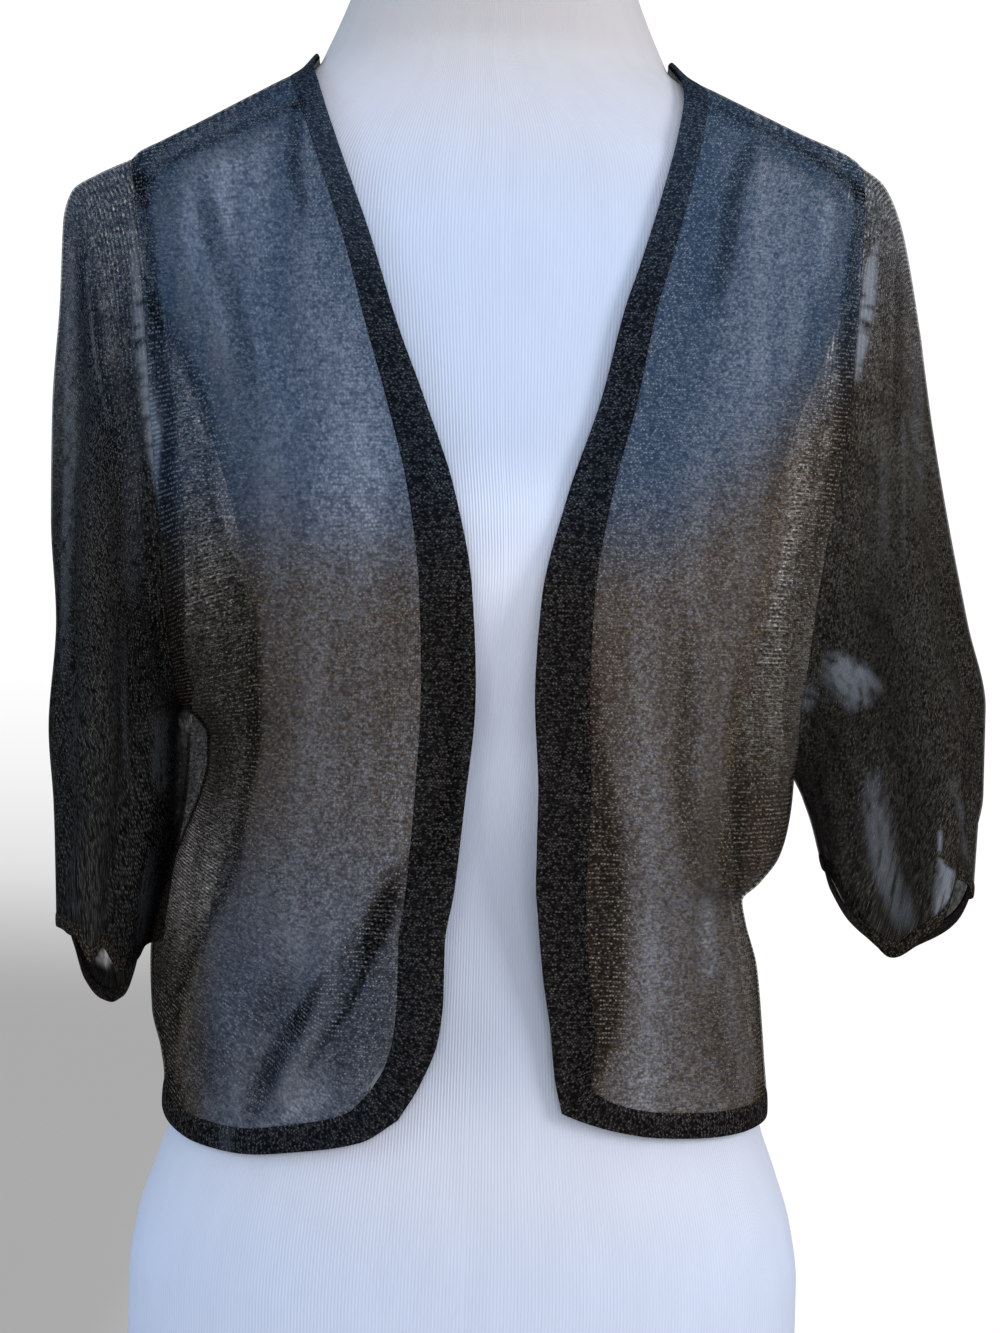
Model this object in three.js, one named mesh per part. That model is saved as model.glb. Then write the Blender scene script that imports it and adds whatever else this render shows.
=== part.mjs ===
// Open-front cardigan in sheer knit, hanging on a limbless dress form.
//
// Millimetres, +Z up, front of the garment towards -Y, the wearer's left towards +X.
// The origin is on the form's flat underside. Every cloth piece is a wall of constant
// thickness on one of two surfaces: the body, which wraps the form, and the sleeve,
// a tube that starts on the armhole and hangs to the cuff.

import * as THREE from "three";

// ---------------------------------------------------------------- driving dimensions

const WALL = 1.2;            // one layer of knit, with its hairiness
const DOUBLED_OUT = 0.5;     // a doubled edge stands this much proud of the panel
const DOUBLED_IN = 1.7;      // and reaches this far in behind the panel's outer face
const SEAM_GAP = 0.3;        // between two pieces that are sewn together
const ARMHOLE_GAP = 0.6;     // the same at the armhole, where the two walls meet at an angle
const CUFF_HEIGHT = 7;       // doubled edge of a sleeve
const CUFF_GAP = 0.25;       // each side of the seam above it
const SQUARENESS = 0.91;     // 1 makes elliptical sections, less makes them squarer
const CORNER = 90;           // section angle of the side seam and the shoulder ridge

const ARM_ROWS = 12;         // rows of a panel beside the armhole
const SIDE_ROWS = 10;        // rows of a panel beside the side seam
const ROWS = ARM_ROWS + SIDE_ROWS;
const FRONT_COLUMNS = 10;
const RIDGE_COLUMNS = 5;     // columns of the back along one shoulder
const NECK_COLUMNS = 10;     // columns of the back along its neckline
const BAND_COLUMNS = 2;
const FORM_SIDES = 36;
const FORM_STEP = 25;          // rows of the form's table further apart get one between them

// ---------------------------------------------------------------- tables

// The dress form: at each height its half width, its depth to the front and to the
// back of its middle, and where that middle lies in x and y. It stands a little askew.
const FORM = [
  { z: 0, half: 174, front: 100, back: 116, midX: 0, midY: 0 },
  { z: 8, half: 177, front: 103, back: 119, midX: 0, midY: 0 },
  { z: 60, half: 179, front: 106, back: 122, midX: 0, midY: 0 },
  { z: 98, half: 179, front: 108, back: 123, midX: 0, midY: 0 },
  { z: 130, half: 174.5, front: 110, back: 122, midX: 0, midY: 0 },
  { z: 157, half: 166, front: 111, back: 118, midX: 0, midY: 0 },
  { z: 185, half: 156.5, front: 110.5, back: 112, midX: 0, midY: 0 },
  { z: 215, half: 152.5, front: 109, back: 104, midX: 0, midY: 0 },
  { z: 250, half: 147, front: 106, back: 96, midX: 0, midY: 0 },
  { z: 302, half: 138, front: 98, back: 83, midX: 0, midY: 0 },
  { z: 340, half: 129.5, front: 93, back: 77, midX: 3, midY: 0 },
  { z: 376, half: 126, front: 93, back: 76, midX: 6, midY: 0 },
  { z: 430, half: 131, front: 105, back: 83, midX: 10, midY: 0 },
  { z: 470, half: 138, front: 117, back: 90, midX: 12, midY: 0 },
  { z: 500, half: 144, front: 122, back: 95, midX: 11, midY: 0 },
  { z: 530, half: 151, front: 120, back: 99, midX: 9, midY: 0 },
  { z: 563, half: 162, front: 115, back: 102, midX: 8, midY: 0 },
  { z: 600, half: 177, front: 108, back: 104, midX: 7, midY: 1 },
  { z: 640, half: 190, front: 100, back: 102, midX: 6, midY: 2 },
  { z: 664, half: 191, front: 94, back: 98, midX: 6, midY: 4 },
  { z: 680, half: 186.5, front: 90, back: 95, midX: 6, midY: 5 },
  { z: 692, half: 177, front: 86, back: 91, midX: 6, midY: 6 },
  { z: 704, half: 161, front: 81, back: 86, midX: 5, midY: 7 },
  { z: 720, half: 134, front: 74, back: 78, midX: 3, midY: 8 },
  { z: 734, half: 108, front: 67.5, back: 71, midX: 1, midY: 8 },
  { z: 743, half: 96, front: 63.5, back: 67, midX: 0, midY: 8 },
  { z: 754, half: 90, front: 60, back: 64, midX: 0, midY: 6 },
  { z: 783, half: 77, front: 59, back: 61, midX: 0, midY: 1 },
  { z: 812, half: 67, front: 59, back: 60, midX: 0, midY: -5 },
  { z: 824, half: 64.5, front: 58.5, back: 59.5, midX: 0, midY: -7 },
  { z: 828, half: 61, front: 55, back: 56, midX: 0, midY: -8 },
];

// The cloth around the body: half width on the wearer's right and left, depth to the
// front and to the back, and how far the back swings out past the side seam on the
// right, behind the underarm. Beside the armholes the half width only shapes the section.
const BODY = [
  { z: 150, right: 163.5, left: 161.5, front: 115, back: 122, mid: 0, swing: 0 },
  { z: 185, right: 163.5, left: 161, front: 115.5, back: 118, mid: 0, swing: 0 },
  { z: 200, right: 163, left: 160.5, front: 116, back: 116, mid: 0, swing: 0 },
  { z: 215, right: 165, left: 159, front: 116, back: 114, mid: 0, swing: 0 },
  { z: 237, right: 170.5, left: 157, front: 116, back: 111, mid: 0, swing: 0 },
  { z: 267, right: 172, left: 153.5, front: 116.5, back: 107, mid: 0, swing: 0 },
  { z: 290, right: 168.5, left: 147, front: 117, back: 105, mid: 0, swing: 0 },
  { z: 302, right: 165, left: 145, front: 117.5, back: 104, mid: 0, swing: 0 },
  { z: 312, right: 162.5, left: 154, front: 118, back: 103.5, mid: 0, swing: 1 },
  { z: 326, right: 158, left: 164, front: 118.5, back: 103, mid: 0, swing: 5 },
  { z: 340, right: 152.5, left: 168, front: 119, back: 102, mid: 0, swing: 10 },
  { z: 354, right: 147.5, left: 170, front: 119.5, back: 102, mid: 0, swing: 14 },
  { z: 368, right: 144.5, left: 171, front: 120, back: 102, mid: 0, swing: 17 },
  { z: 382, right: 144.5, left: 173, front: 120.5, back: 102, mid: 0, swing: 15 },
  { z: 392, right: 150.5, left: 175, front: 121, back: 102.5, mid: 0, swing: 6 },
  { z: 400, right: 160, left: 176, front: 121.5, back: 102.5, mid: 0, swing: 0 },
  { z: 430, right: 167, left: 184, front: 124, back: 103, mid: 0, swing: 0 },
  { z: 470, right: 176, left: 195, front: 127, back: 105, mid: 0, swing: 0 },
  { z: 514, right: 186, left: 204, front: 127, back: 108, mid: 0, swing: 0 },
  { z: 560, right: 195, left: 211, front: 121, back: 110, mid: 0, swing: 0 },
  { z: 606, right: 201, left: 213, front: 113, back: 110.5, mid: 1, swing: 0 },
  { z: 650, right: 203, left: 211, front: 104, back: 107, mid: 3, swing: 0 },
  { z: 680, right: 200, left: 207, front: 95.5, back: 100.5, mid: 5, swing: 0 },
  { z: 692, right: 193, left: 203, front: 91.5, back: 97, mid: 6, swing: 0 },
  { z: 698, right: 182, left: 198, front: 89.5, back: 95, mid: 6, swing: 0 },
  { z: 710, right: 160, left: 172, front: 84, back: 89.5, mid: 7, swing: 0 },
  { z: 720, right: 142, left: 150.5, front: 80, back: 84.5, mid: 7.5, swing: 0 },
  { z: 730, right: 124, left: 129, front: 75, back: 79.5, mid: 8, swing: 0 },
  { z: 740, right: 106, left: 108, front: 70, back: 74, mid: 8, swing: 0 },
  { z: 752, right: 95.5, left: 95, front: 65, back: 69, mid: 6.5, swing: 0 },
];

// Each half of the garment: which way it lies, the heights of its shoulder tip, its
// underarm, and its hem at the side seam.
//   seam: half width at which the front and back panels end beside the armhole.
//   edge: the front edge from the neck to the lower corner, with the band's width
//         and how much higher its inner edge lies, so that it turns the corner.
//   hem:  the lower edge from that corner to the side, with the band's height and how
//         far outwards its upper edge is shifted.
const RIGHT = {
  name: "right", side: -1, key: "right", tip: 692, under: 400, hemSide: 185,
  seam: [
    { z: 400, x: 160 }, { z: 430, x: 162.5 }, { z: 470, x: 165 }, { z: 514, x: 168 },
    { z: 560, x: 172.5 }, { z: 606, x: 178 }, { z: 650, x: 184 }, { z: 677, x: 189 },
    { z: 692, x: 193 },
  ],
  edge: [
    { z: 199, x: 34, band: 14, rise: 14 }, { z: 218, x: 23, band: 18, rise: 8 },
    { z: 240, x: 15, band: 22, rise: 3 }, { z: 260, x: 13, band: 23, rise: 1 },
    { z: 286, x: 13, band: 23, rise: 0 }, { z: 313, x: 9, band: 24, rise: 0 },
    { z: 356, x: 5, band: 25, rise: 0 }, { z: 407, x: 1, band: 27, rise: 0 },
    { z: 461, x: 4, band: 26, rise: 0 }, { z: 510, x: 14, band: 23, rise: 0 },
    { z: 555, x: 30, band: 19, rise: 0 }, { z: 591, x: 44, band: 16, rise: 0 },
    { z: 639, x: 60, band: 14, rise: 0 }, { z: 690, x: 79, band: 13, rise: 0 },
    { z: 725, x: 91, band: 12.5, rise: -3 }, { z: 743, x: 96, band: 12, rise: -8 },
    { z: 752, x: 95.5, band: 12, rise: -13 },
  ],
  hem: [
    { x: 34, z: 199, band: 14, shift: 14 }, { x: 52, z: 187, band: 14, shift: 8 },
    { x: 82, z: 180, band: 14, shift: 2 }, { x: 118, z: 175, band: 13, shift: 0 },
    { x: 138, z: 176, band: 13, shift: 0 }, { x: 154, z: 180, band: 13, shift: 0 },
    { x: 163, z: 185, band: 13, shift: 0 },
  ],
};
const LEFT = {
  name: "left", side: 1, key: "left", tip: 698, under: 368, hemSide: 188,
  seam: [
    { z: 368, x: 171 }, { z: 400, x: 169 }, { z: 425, x: 171 }, { z: 460, x: 173.5 },
    { z: 484, x: 176.5 }, { z: 523, x: 183 }, { z: 567, x: 188 }, { z: 619, x: 193 },
    { z: 650, x: 195.5 }, { z: 685, x: 198 }, { z: 698, x: 198 },
  ],
  edge: [
    { z: 204, x: 47, band: 14, rise: 12 }, { z: 221, x: 43, band: 19, rise: 5 },
    { z: 246, x: 40, band: 22, rise: 0 }, { z: 270, x: 36, band: 23, rise: 0 },
    { z: 296, x: 33, band: 24, rise: 0 }, { z: 320, x: 31, band: 25, rise: 0 },
    { z: 359, x: 31, band: 26, rise: 0 }, { z: 414, x: 28, band: 27, rise: 0 },
    { z: 457, x: 30, band: 26, rise: 0 }, { z: 507, x: 41, band: 22, rise: 0 },
    { z: 557, x: 57, band: 18, rise: 0 }, { z: 603, x: 68, band: 16, rise: 0 },
    { z: 628, x: 76, band: 15, rise: 0 }, { z: 670, x: 88, band: 13.5, rise: 0 },
    { z: 699, x: 95, band: 13, rise: 0 }, { z: 725, x: 99, band: 12.5, rise: -3 },
    { z: 740, x: 98, band: 12, rise: -8 }, { z: 752, x: 95, band: 12, rise: -13 },
  ],
  hem: [
    { x: 47, z: 204, band: 12, shift: 14 }, { x: 58, z: 199.5, band: 13, shift: 8 },
    { x: 76, z: 194, band: 13, shift: 2 }, { x: 97, z: 190, band: 13, shift: 0 },
    { x: 139, z: 187, band: 13, shift: 0 }, { x: 160, z: 188, band: 13, shift: 0 },
  ],
};

// The back: its neckline against the section angle, and its hem against x.
const BACK_NECK = [
  { angle: -90, z: 752, band: 13 }, { angle: -50, z: 747, band: 13 },
  { angle: 0, z: 743, band: 13 }, { angle: 50, z: 747, band: 13 },
  { angle: 90, z: 752, band: 13 },
];
const BACK_HEM = [
  { x: -163, z: 185 }, { x: -80, z: 180 }, { x: 0, z: 178 }, { x: 80, z: 182 },
  { x: 160, z: 188 },
];
const BACK_HEM_BAND = 13;

// Sleeves, from the armhole (t = 0) to the finished edge (t = 1): the outer line over
// the shoulder, the inner line from the underarm, and the depths between them.
const SLEEVES = {
  right: [
    { t: 0.00, outX: 193, outZ: 692, inX: 160, inZ: 400, front: 52, back: 55 },
    { t: 0.06, outX: 212, outZ: 683, inX: 160.4, inZ: 397, front: 54, back: 57 },
    { t: 0.11, outX: 225, outZ: 674, inX: 160.7, inZ: 395, front: 56, back: 59 },
    { t: 0.16, outX: 229, outZ: 658, inX: 160.9, inZ: 392, front: 58, back: 61 },
    { t: 0.25, outX: 229.5, outZ: 618, inX: 161.1, inZ: 386, front: 61, back: 64 },
    { t: 0.38, outX: 232, outZ: 560, inX: 161.4, inZ: 377, front: 65, back: 68 },
    { t: 0.50, outX: 231, outZ: 500, inX: 161.8, inZ: 366, front: 68, back: 71 },
    { t: 0.62, outX: 226.5, outZ: 440, inX: 162.4, inZ: 352, front: 71, back: 74 },
    { t: 0.72, outX: 229, outZ: 390, inX: 164, inZ: 337, front: 73, back: 75 },
    { t: 0.82, outX: 225, outZ: 345, inX: 168, inZ: 317, front: 74, back: 76 },
    { t: 0.92, outX: 222.5, outZ: 305, inX: 173, inZ: 292, front: 75, back: 76 },
    { t: 1.00, outX: 221, outZ: 277, inX: 176, inZ: 268, front: 75, back: 76 },
  ],
  left: [
    { t: 0.00, outX: 198, outZ: 698, inX: 171, inZ: 368, front: 55, back: 58 },
    { t: 0.05, outX: 210, outZ: 689, inX: 171.9, inZ: 366.5, front: 57, back: 60 },
    { t: 0.11, outX: 219, outZ: 671, inX: 173, inZ: 364.5, front: 59, back: 62 },
    { t: 0.17, outX: 225.5, outZ: 645, inX: 174, inZ: 362.5, front: 61, back: 64 },
    { t: 0.25, outX: 232, outZ: 610, inX: 175.4, inZ: 360, front: 63, back: 66 },
    { t: 0.36, outX: 240, outZ: 560, inX: 177, inZ: 356.5, front: 66, back: 69 },
    { t: 0.48, outX: 250, outZ: 508, inX: 178.8, inZ: 352, front: 68, back: 71 },
    { t: 0.60, outX: 262, outZ: 453, inX: 180.8, inZ: 347, front: 70, back: 72 },
    { t: 0.70, outX: 272.5, outZ: 408, inX: 182.8, inZ: 341.5, front: 70, back: 72 },
    { t: 0.80, outX: 272.5, outZ: 362, inX: 184.8, inZ: 335.5, front: 69, back: 71 },
    { t: 0.90, outX: 268.5, outZ: 335, inX: 187, inZ: 328.5, front: 68, back: 70 },
    { t: 1.00, outX: 268, outZ: 304, inX: 189.5, inZ: 321, front: 67, back: 69 },
  ],
};

// How much lower (-) or higher (+) the cuff hangs than its plane, against the angle
// round the sleeve: 0 on the outer line, 90 in front, 180 on the inner line.
const CUFF_DROP = {
  right: [
    { angle: 0, drop: 0 }, { angle: 45, drop: 6 }, { angle: 80, drop: 7 },
    { angle: 103, drop: -4 }, { angle: 120, drop: 4 }, { angle: 142, drop: -9 },
    { angle: 165, drop: -5 }, { angle: 180, drop: 0 }, { angle: 215, drop: -4 },
    { angle: 240, drop: -17 }, { angle: 255, drop: -30 }, { angle: 270, drop: -44 },
    { angle: 285, drop: -48 }, { angle: 300, drop: -45 }, { angle: 321, drop: -26 },
    { angle: 338, drop: -6 }, { angle: 350, drop: 0 }, { angle: 360, drop: 0 },
  ],
  left: [
    { angle: 0, drop: 0 }, { angle: 25, drop: 4 }, { angle: 45, drop: 11 },
    { angle: 58, drop: 12 }, { angle: 72, drop: -10 }, { angle: 90, drop: -24 },
    { angle: 111, drop: -36 }, { angle: 129, drop: -29 }, { angle: 147, drop: -20 },
    { angle: 165, drop: -12 }, { angle: 180, drop: -2 }, { angle: 205, drop: -6 },
    { angle: 230, drop: -16 }, { angle: 250, drop: -28 }, { angle: 268, drop: -40 },
    { angle: 283, drop: -47 }, { angle: 310, drop: -34 }, { angle: 342, drop: -15 },
    { angle: 360, drop: 0 },
  ],
};

// Main folds of the body: ridges (+) and troughs (-) along a straight run seen from the
// front or from the back, x outwards on that side.
const BODY_FOLDS = [
  { on: "front", side: -1, x1: 90, z1: 684, x2: 84, z2: 560, width: 11, height: 5 },
  { on: "front", side: -1, x1: 122, z1: 668, x2: 112, z2: 530, width: 13, height: 5 },
  { on: "front", side: -1, x1: 150, z1: 640, x2: 140, z2: 420, width: 14, height: 6 },
  { on: "front", side: -1, x1: 62, z1: 300, x2: 96, z2: 200, width: 8, height: 6 },
  { on: "front", side: -1, x1: 84, z1: 290, x2: 110, z2: 200, width: 8, height: -5 },
  { on: "front", side: -1, x1: 120, z1: 260, x2: 122, z2: 195, width: 8, height: 6 },
  { on: "front", side: 1, x1: 130, z1: 684, x2: 120, z2: 580, width: 12, height: 6 },
  { on: "front", side: 1, x1: 108, z1: 450, x2: 110, z2: 330, width: 11, height: 6 },
  { on: "front", side: 1, x1: 84, z1: 420, x2: 76, z2: 220, width: 11, height: 5 },
  { on: "front", side: 1, x1: 136, z1: 380, x2: 122, z2: 250, width: 11, height: -6 },
  { on: "back", side: -1, x1: 118, z1: 600, x2: 126, z2: 200, width: 15, height: 7 },
  { on: "back", side: -1, x1: 70, z1: 520, x2: 62, z2: 215, width: 15, height: 6 },
  { on: "back", side: -1, x1: 20, z1: 430, x2: 8, z2: 200, width: 14, height: 6 },
  { on: "back", side: 1, x1: 48, z1: 560, x2: 44, z2: 205, width: 15, height: 7 },
  { on: "back", side: 1, x1: 96, z1: 470, x2: 104, z2: 210, width: 14, height: 6 },
  { on: "back", side: 1, x1: 140, z1: 560, x2: 134, z2: 330, width: 13, height: 7 },
];

// Main folds of the sleeves, along the sleeve at a given angle round it.
const SLEEVE_FOLDS = {
  right: [
    { angle: 52, from: 0.10, to: 1.05, width: 15, height: -8 },
    { angle: 88, from: 0.15, to: 0.85, width: 14, height: 6 },
    { angle: 126, from: 0.20, to: 1.05, width: 15, height: -8 },
    { angle: 232, from: 0.15, to: 1.05, width: 16, height: -8 },
    { angle: 270, from: 0.25, to: 1.05, width: 14, height: 6 },
    { angle: 312, from: 0.10, to: 0.90, width: 15, height: -7 },
  ],
  left: [
    { angle: 40, from: 0.12, to: 0.95, width: 14, height: -8 },
    { angle: 72, from: 0.25, to: 1.05, width: 14, height: 7 },
    { angle: 108, from: 0.12, to: 1.05, width: 15, height: -8 },
    { angle: 142, from: 0.35, to: 1.05, width: 13, height: 5 },
    { angle: 222, from: 0.20, to: 1.05, width: 16, height: -8 },
    { angle: 262, from: 0.12, to: 0.90, width: 15, height: 7 },
    { angle: 306, from: 0.20, to: 1.05, width: 15, height: -8 },
  ],
};

const FINISHES = {
  knit: { color: 0x2a2a2c, roughness: 0.75, metalness: 0.15 },
  doubled: { color: 0x1c1c1e, roughness: 0.7, metalness: 0.2 },
  cover: { color: 0xe6e9f2, roughness: 0.9, metalness: 0 },
};

// ---------------------------------------------------------------- small tools

const radians = THREE.MathUtils.degToRad;
const degrees = THREE.MathUtils.radToDeg;
const mix = THREE.MathUtils.lerp;
const ease = THREE.MathUtils.smoothstep;

// Column `of` of a table against its column `by`, as a smooth curve that never
// overshoots its rows: cubic Hermite pieces with harmonic-mean slopes.
function column(rows, by, of) {
  const x = rows.map((row) => row[by]);
  const y = rows.map((row) => row[of]);
  const last = x.length - 1;
  const rise = [];
  for (let i = 0; i < last; i++) rise.push((y[i + 1] - y[i]) / (x[i + 1] - x[i]));
  const slope = [rise[0]];
  for (let i = 1; i < last; i++) {
    const before = rise[i - 1];
    const after = rise[i];
    slope.push(before * after > 0 ? 2 / (1 / before + 1 / after) : 0);
  }
  slope.push(rise[last - 1]);
  return (at) => {
    const here = THREE.MathUtils.clamp(at, x[0], x[last]);
    let i = 0;
    while (i < last - 1 && here > x[i + 1]) i++;
    const step = x[i + 1] - x[i];
    const s = (here - x[i]) / step;
    return y[i] * (1 + 2 * s) * (1 - s) ** 2 + slope[i] * step * s * (1 - s) ** 2
      + y[i + 1] * s * s * (3 - 2 * s) + slope[i + 1] * step * s * s * (s - 1);
  };
}

// Every named column of a table as such a curve.
function columns(rows, by) {
  const curves = {};
  for (const name of Object.keys(rows[0])) {
    if (name !== by) curves[name] = column(rows, by, name);
  }
  return curves;
}

// Point of a section: angle 0 in front, 90 at the side, 180 at the back.
function sectionPoint(angle, z, half, front, back) {
  const c = Math.cos(radians(angle));
  const s = Math.sin(radians(angle));
  const depth = c > 0 ? -front : back;
  return new THREE.Vector3(
    half * Math.sign(s) * Math.abs(s) ** SQUARENESS,
    depth * Math.abs(c) ** SQUARENESS,
    z,
  );
}

// Unit normal of surface(a, b) by differences, turned to point away from `inside`.
function normalOf(surface, a, b, stepA, stepB, inside) {
  const alongA = surface(a + stepA, b).sub(surface(a - stepA, b));
  const alongB = surface(a, b + stepB).sub(surface(a, b - stepB));
  const normal = alongA.cross(alongB).normalize();
  const outwards = surface(a, b).sub(inside);
  return normal.dot(outwards) < 0 ? normal.negate() : normal;
}

// Height of a fold at distance `across` from its run, at a share `along` of its length.
function foldHeight(fold, across, along) {
  const ends = ease(along, -0.02, 0.22) * (1 - ease(along, 0.8, 1.02));
  return fold.height * ends * Math.exp(-((across / fold.width) ** 2));
}

// ---------------------------------------------------------------- the body surface

const body = columns(BODY, "z");

function bodyBase(half, angle, z) {
  const behind = angle > CORNER && half === RIGHT;
  const swing = behind ? body.swing(z) * Math.sin(2 * radians(angle - CORNER)) ** 2 : 0;
  const point = sectionPoint(angle, z, body[half.key](z) + swing, body.front(z), body.back(z));
  return new THREE.Vector3(half.side * point.x, body.mid(z) + point.y, z);
}

// A point of the body surface and its outward normal, folds included.
function bodyPoint(half, angle, z) {
  const point = bodyBase(half, angle, z);
  const probe = THREE.MathUtils.clamp(angle, 1, 179);
  const axis = new THREE.Vector3(0, body.mid(z), z - 25);
  const normal = normalOf((a, h) => bodyBase(half, a, h), probe, z, 0.8, 0.8, axis);
  const face = angle < CORNER ? "front" : "back";
  const nearCorner = Math.min(1, 3 * Math.abs(Math.cos(radians(angle))));
  let height = 0;
  for (const fold of BODY_FOLDS) {
    if (fold.on !== face || fold.side !== half.side) continue;
    const runX = fold.x2 - fold.x1;
    const runZ = fold.z2 - fold.z1;
    const length = Math.hypot(runX, runZ);
    const dx = half.side * point.x - fold.x1;
    const dz = z - fold.z1;
    const along = (dx * runX + dz * runZ) / length ** 2;
    const across = (dx * runZ - dz * runX) / length;
    height += foldHeight(fold, across, along);
  }
  point.addScaledVector(normal, height * nearCorner);
  return { point, normal };
}

// Section angle at which the body's half width is x.
function angleAt(half, x, z) {
  const share = THREE.MathUtils.clamp(x / body[half.key](z), 0, 1);
  return degrees(Math.asin(share ** (1 / SQUARENESS)));
}

// Row heights from `top` to `low`, closest together at the top and at the underarm.
function rowHeights(top, under, low) {
  const heights = [];
  for (let i = 0; i <= ARM_ROWS; i++) {
    heights.push(mix(top, under, (1 - Math.cos(Math.PI * i / ARM_ROWS)) / 2));
  }
  for (let i = 1; i <= SIDE_ROWS; i++) heights.push(mix(under, low, i / SIDE_ROWS));
  return heights;
}

// The side of a panel as section angle and height: armhole, then side seam.
function sideColumn(half, hemBand) {
  const seam = column(half.seam, "z", "x");
  return rowHeights(half.tip, half.under, half.hemSide + hemBand).map((z, i) => {
    const onArmhole = i > 0 && i < ARM_ROWS;
    return { angle: onArmhole ? angleAt(half, seam(z), z) : CORNER, z };
  });
}

// The front edge and the inner edge of its band, as section angle and height.
function frontEdge(half) {
  const edge = columns(half.edge, "z");
  const top = half.edge[half.edge.length - 1].z;
  const rows = rowHeights(top, half.under, half.edge[0].z);
  const outer = rows.map((z, i) => ({ angle: i ? angleAt(half, edge.x(z), z) : CORNER, z }));
  const inner = rows.map((z, i) => {
    const height = z + edge.rise(z);
    const angle = i ? angleAt(half, edge.x(z) + edge.band(z), height) : CORNER;
    return { angle, z: height };
  });
  return { outer, inner };
}

// The hem and the upper edge of its band, from the front corner to the side seam.
function frontHem(half) {
  const hem = columns(half.hem, "x");
  const startX = half.hem[0].x;
  const startZ = half.hem[0].z;
  const startAngle = angleAt(half, startX, startZ);
  const outer = [];
  const inner = [];
  for (let j = 0; j <= FRONT_COLUMNS; j++) {
    const angle = mix(startAngle, CORNER, j / FRONT_COLUMNS);
    const x = body[half.key](startZ) * Math.sin(radians(angle)) ** SQUARENESS;
    const z = j < FRONT_COLUMNS ? hem.z(x) : half.hemSide;
    const height = z + hem.band(x);
    const shifted = angleAt(half, x + hem.shift(x), height);
    outer.push({ angle, z });
    inner.push({ angle: j < FRONT_COLUMNS ? shifted : CORNER, z: height });
  }
  return { outer, inner };
}

// ---------------------------------------------------------------- walls

// A closed wall on a grid of { point, normal }. `out` and `depth` place its two faces
// from the grid; `gaps` pulls its edges in, named top, bottom, start and end. A ring
// (the last column runs into the first) has no start or end.
function wall(grid, { out = 0, depth = WALL, gaps = {}, ring = false }) {
  const rows = grid.length;
  const across = grid[0].length;
  const at = grid.map((row) => row.map((cell) => cell.point.clone()));
  const pull = (i, j, inI, inJ, gap) => {
    const direction = grid[inI][inJ].point.clone().sub(grid[i][j].point).normalize();
    at[i][j].addScaledVector(direction, gap);
  };
  for (let j = 0; j < across; j++) {
    if (gaps.top) pull(0, j, 1, j, gaps.top);
    if (gaps.bottom) pull(rows - 1, j, rows - 2, j, gaps.bottom);
  }
  for (let i = 0; i < rows; i++) {
    if (gaps.start) pull(i, 0, i, 1, gaps.start);
    if (gaps.end) pull(i, across - 1, i, across - 2, gaps.end);
  }

  const positions = [];
  for (const level of [out, out - depth]) {
    for (let i = 0; i < rows; i++) {
      for (let j = 0; j < across; j++) {
        const p = at[i][j].clone().addScaledVector(grid[i][j].normal, level);
        positions.push(p.x, p.y, p.z);
      }
    }
  }
  const outer = (i, j) => i * across + (j % across);
  const inner = (i, j) => rows * across + outer(i, j);
  const indices = [];
  const quad = (a, b, c, d) => indices.push(a, b, c, a, c, d);
  const spans = ring ? across : across - 1;
  for (let i = 0; i < rows - 1; i++) {
    for (let j = 0; j < spans; j++) {
      quad(outer(i, j), outer(i + 1, j), outer(i + 1, j + 1), outer(i, j + 1));
      quad(inner(i, j), inner(i, j + 1), inner(i + 1, j + 1), inner(i + 1, j));
    }
  }
  for (let j = 0; j < spans; j++) {
    quad(outer(0, j), outer(0, j + 1), inner(0, j + 1), inner(0, j));
    quad(outer(rows - 1, j + 1), outer(rows - 1, j), inner(rows - 1, j), inner(rows - 1, j + 1));
  }
  if (!ring) {
    for (let i = 0; i < rows - 1; i++) {
      quad(outer(i + 1, 0), outer(i, 0), inner(i, 0), inner(i + 1, 0));
      quad(outer(i, across - 1), outer(i + 1, across - 1),
        inner(i + 1, across - 1), inner(i, across - 1));
    }
  }
  return closedGeometry(positions, indices);
}

// A geometry whose faces point out: six times its volume is the sum of the triple
// products of its triangles, and all of them are turned round if it is negative.
function closedGeometry(positions, indices) {
  const corner = (n) => new THREE.Vector3().fromArray(positions, 3 * n);
  let volume = 0;
  for (let n = 0; n < indices.length; n += 3) {
    const [a, b, c] = [0, 1, 2].map((k) => corner(indices[n + k]));
    volume += a.dot(b.cross(c));
  }
  if (volume < 0) {
    for (let n = 0; n < indices.length; n += 3) {
      [indices[n + 1], indices[n + 2]] = [indices[n + 2], indices[n + 1]];
    }
  }
  const geometry = new THREE.BufferGeometry();
  geometry.setAttribute("position", new THREE.Float32BufferAttribute(positions, 3));
  geometry.setIndex(indices);
  geometry.computeVertexNormals();
  return geometry;
}

function piece(name, finish, geometry) {
  const mesh = new THREE.Mesh(geometry, new THREE.MeshStandardMaterial(FINISHES[finish]));
  mesh.name = name;
  return mesh;
}

const HALF_GAP = SEAM_GAP / 2;
const onBody = (half) => (cell) => bodyPoint(half, cell.angle, cell.z);
const doubled = (gaps) => ({ out: DOUBLED_OUT, depth: DOUBLED_OUT + DOUBLED_IN, gaps });

// Cells on straight lines between two columns of cells, as a grid with `count` spans.
function ruled(first, second, count) {
  return first.map((cell, i) => {
    const row = [];
    for (let j = 0; j <= count; j++) {
      const u = j / count;
      row.push({ angle: mix(cell.angle, second[i].angle, u), z: mix(cell.z, second[i].z, u) });
    }
    return row;
  });
}

// ---------------------------------------------------------------- fronts and bands

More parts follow.
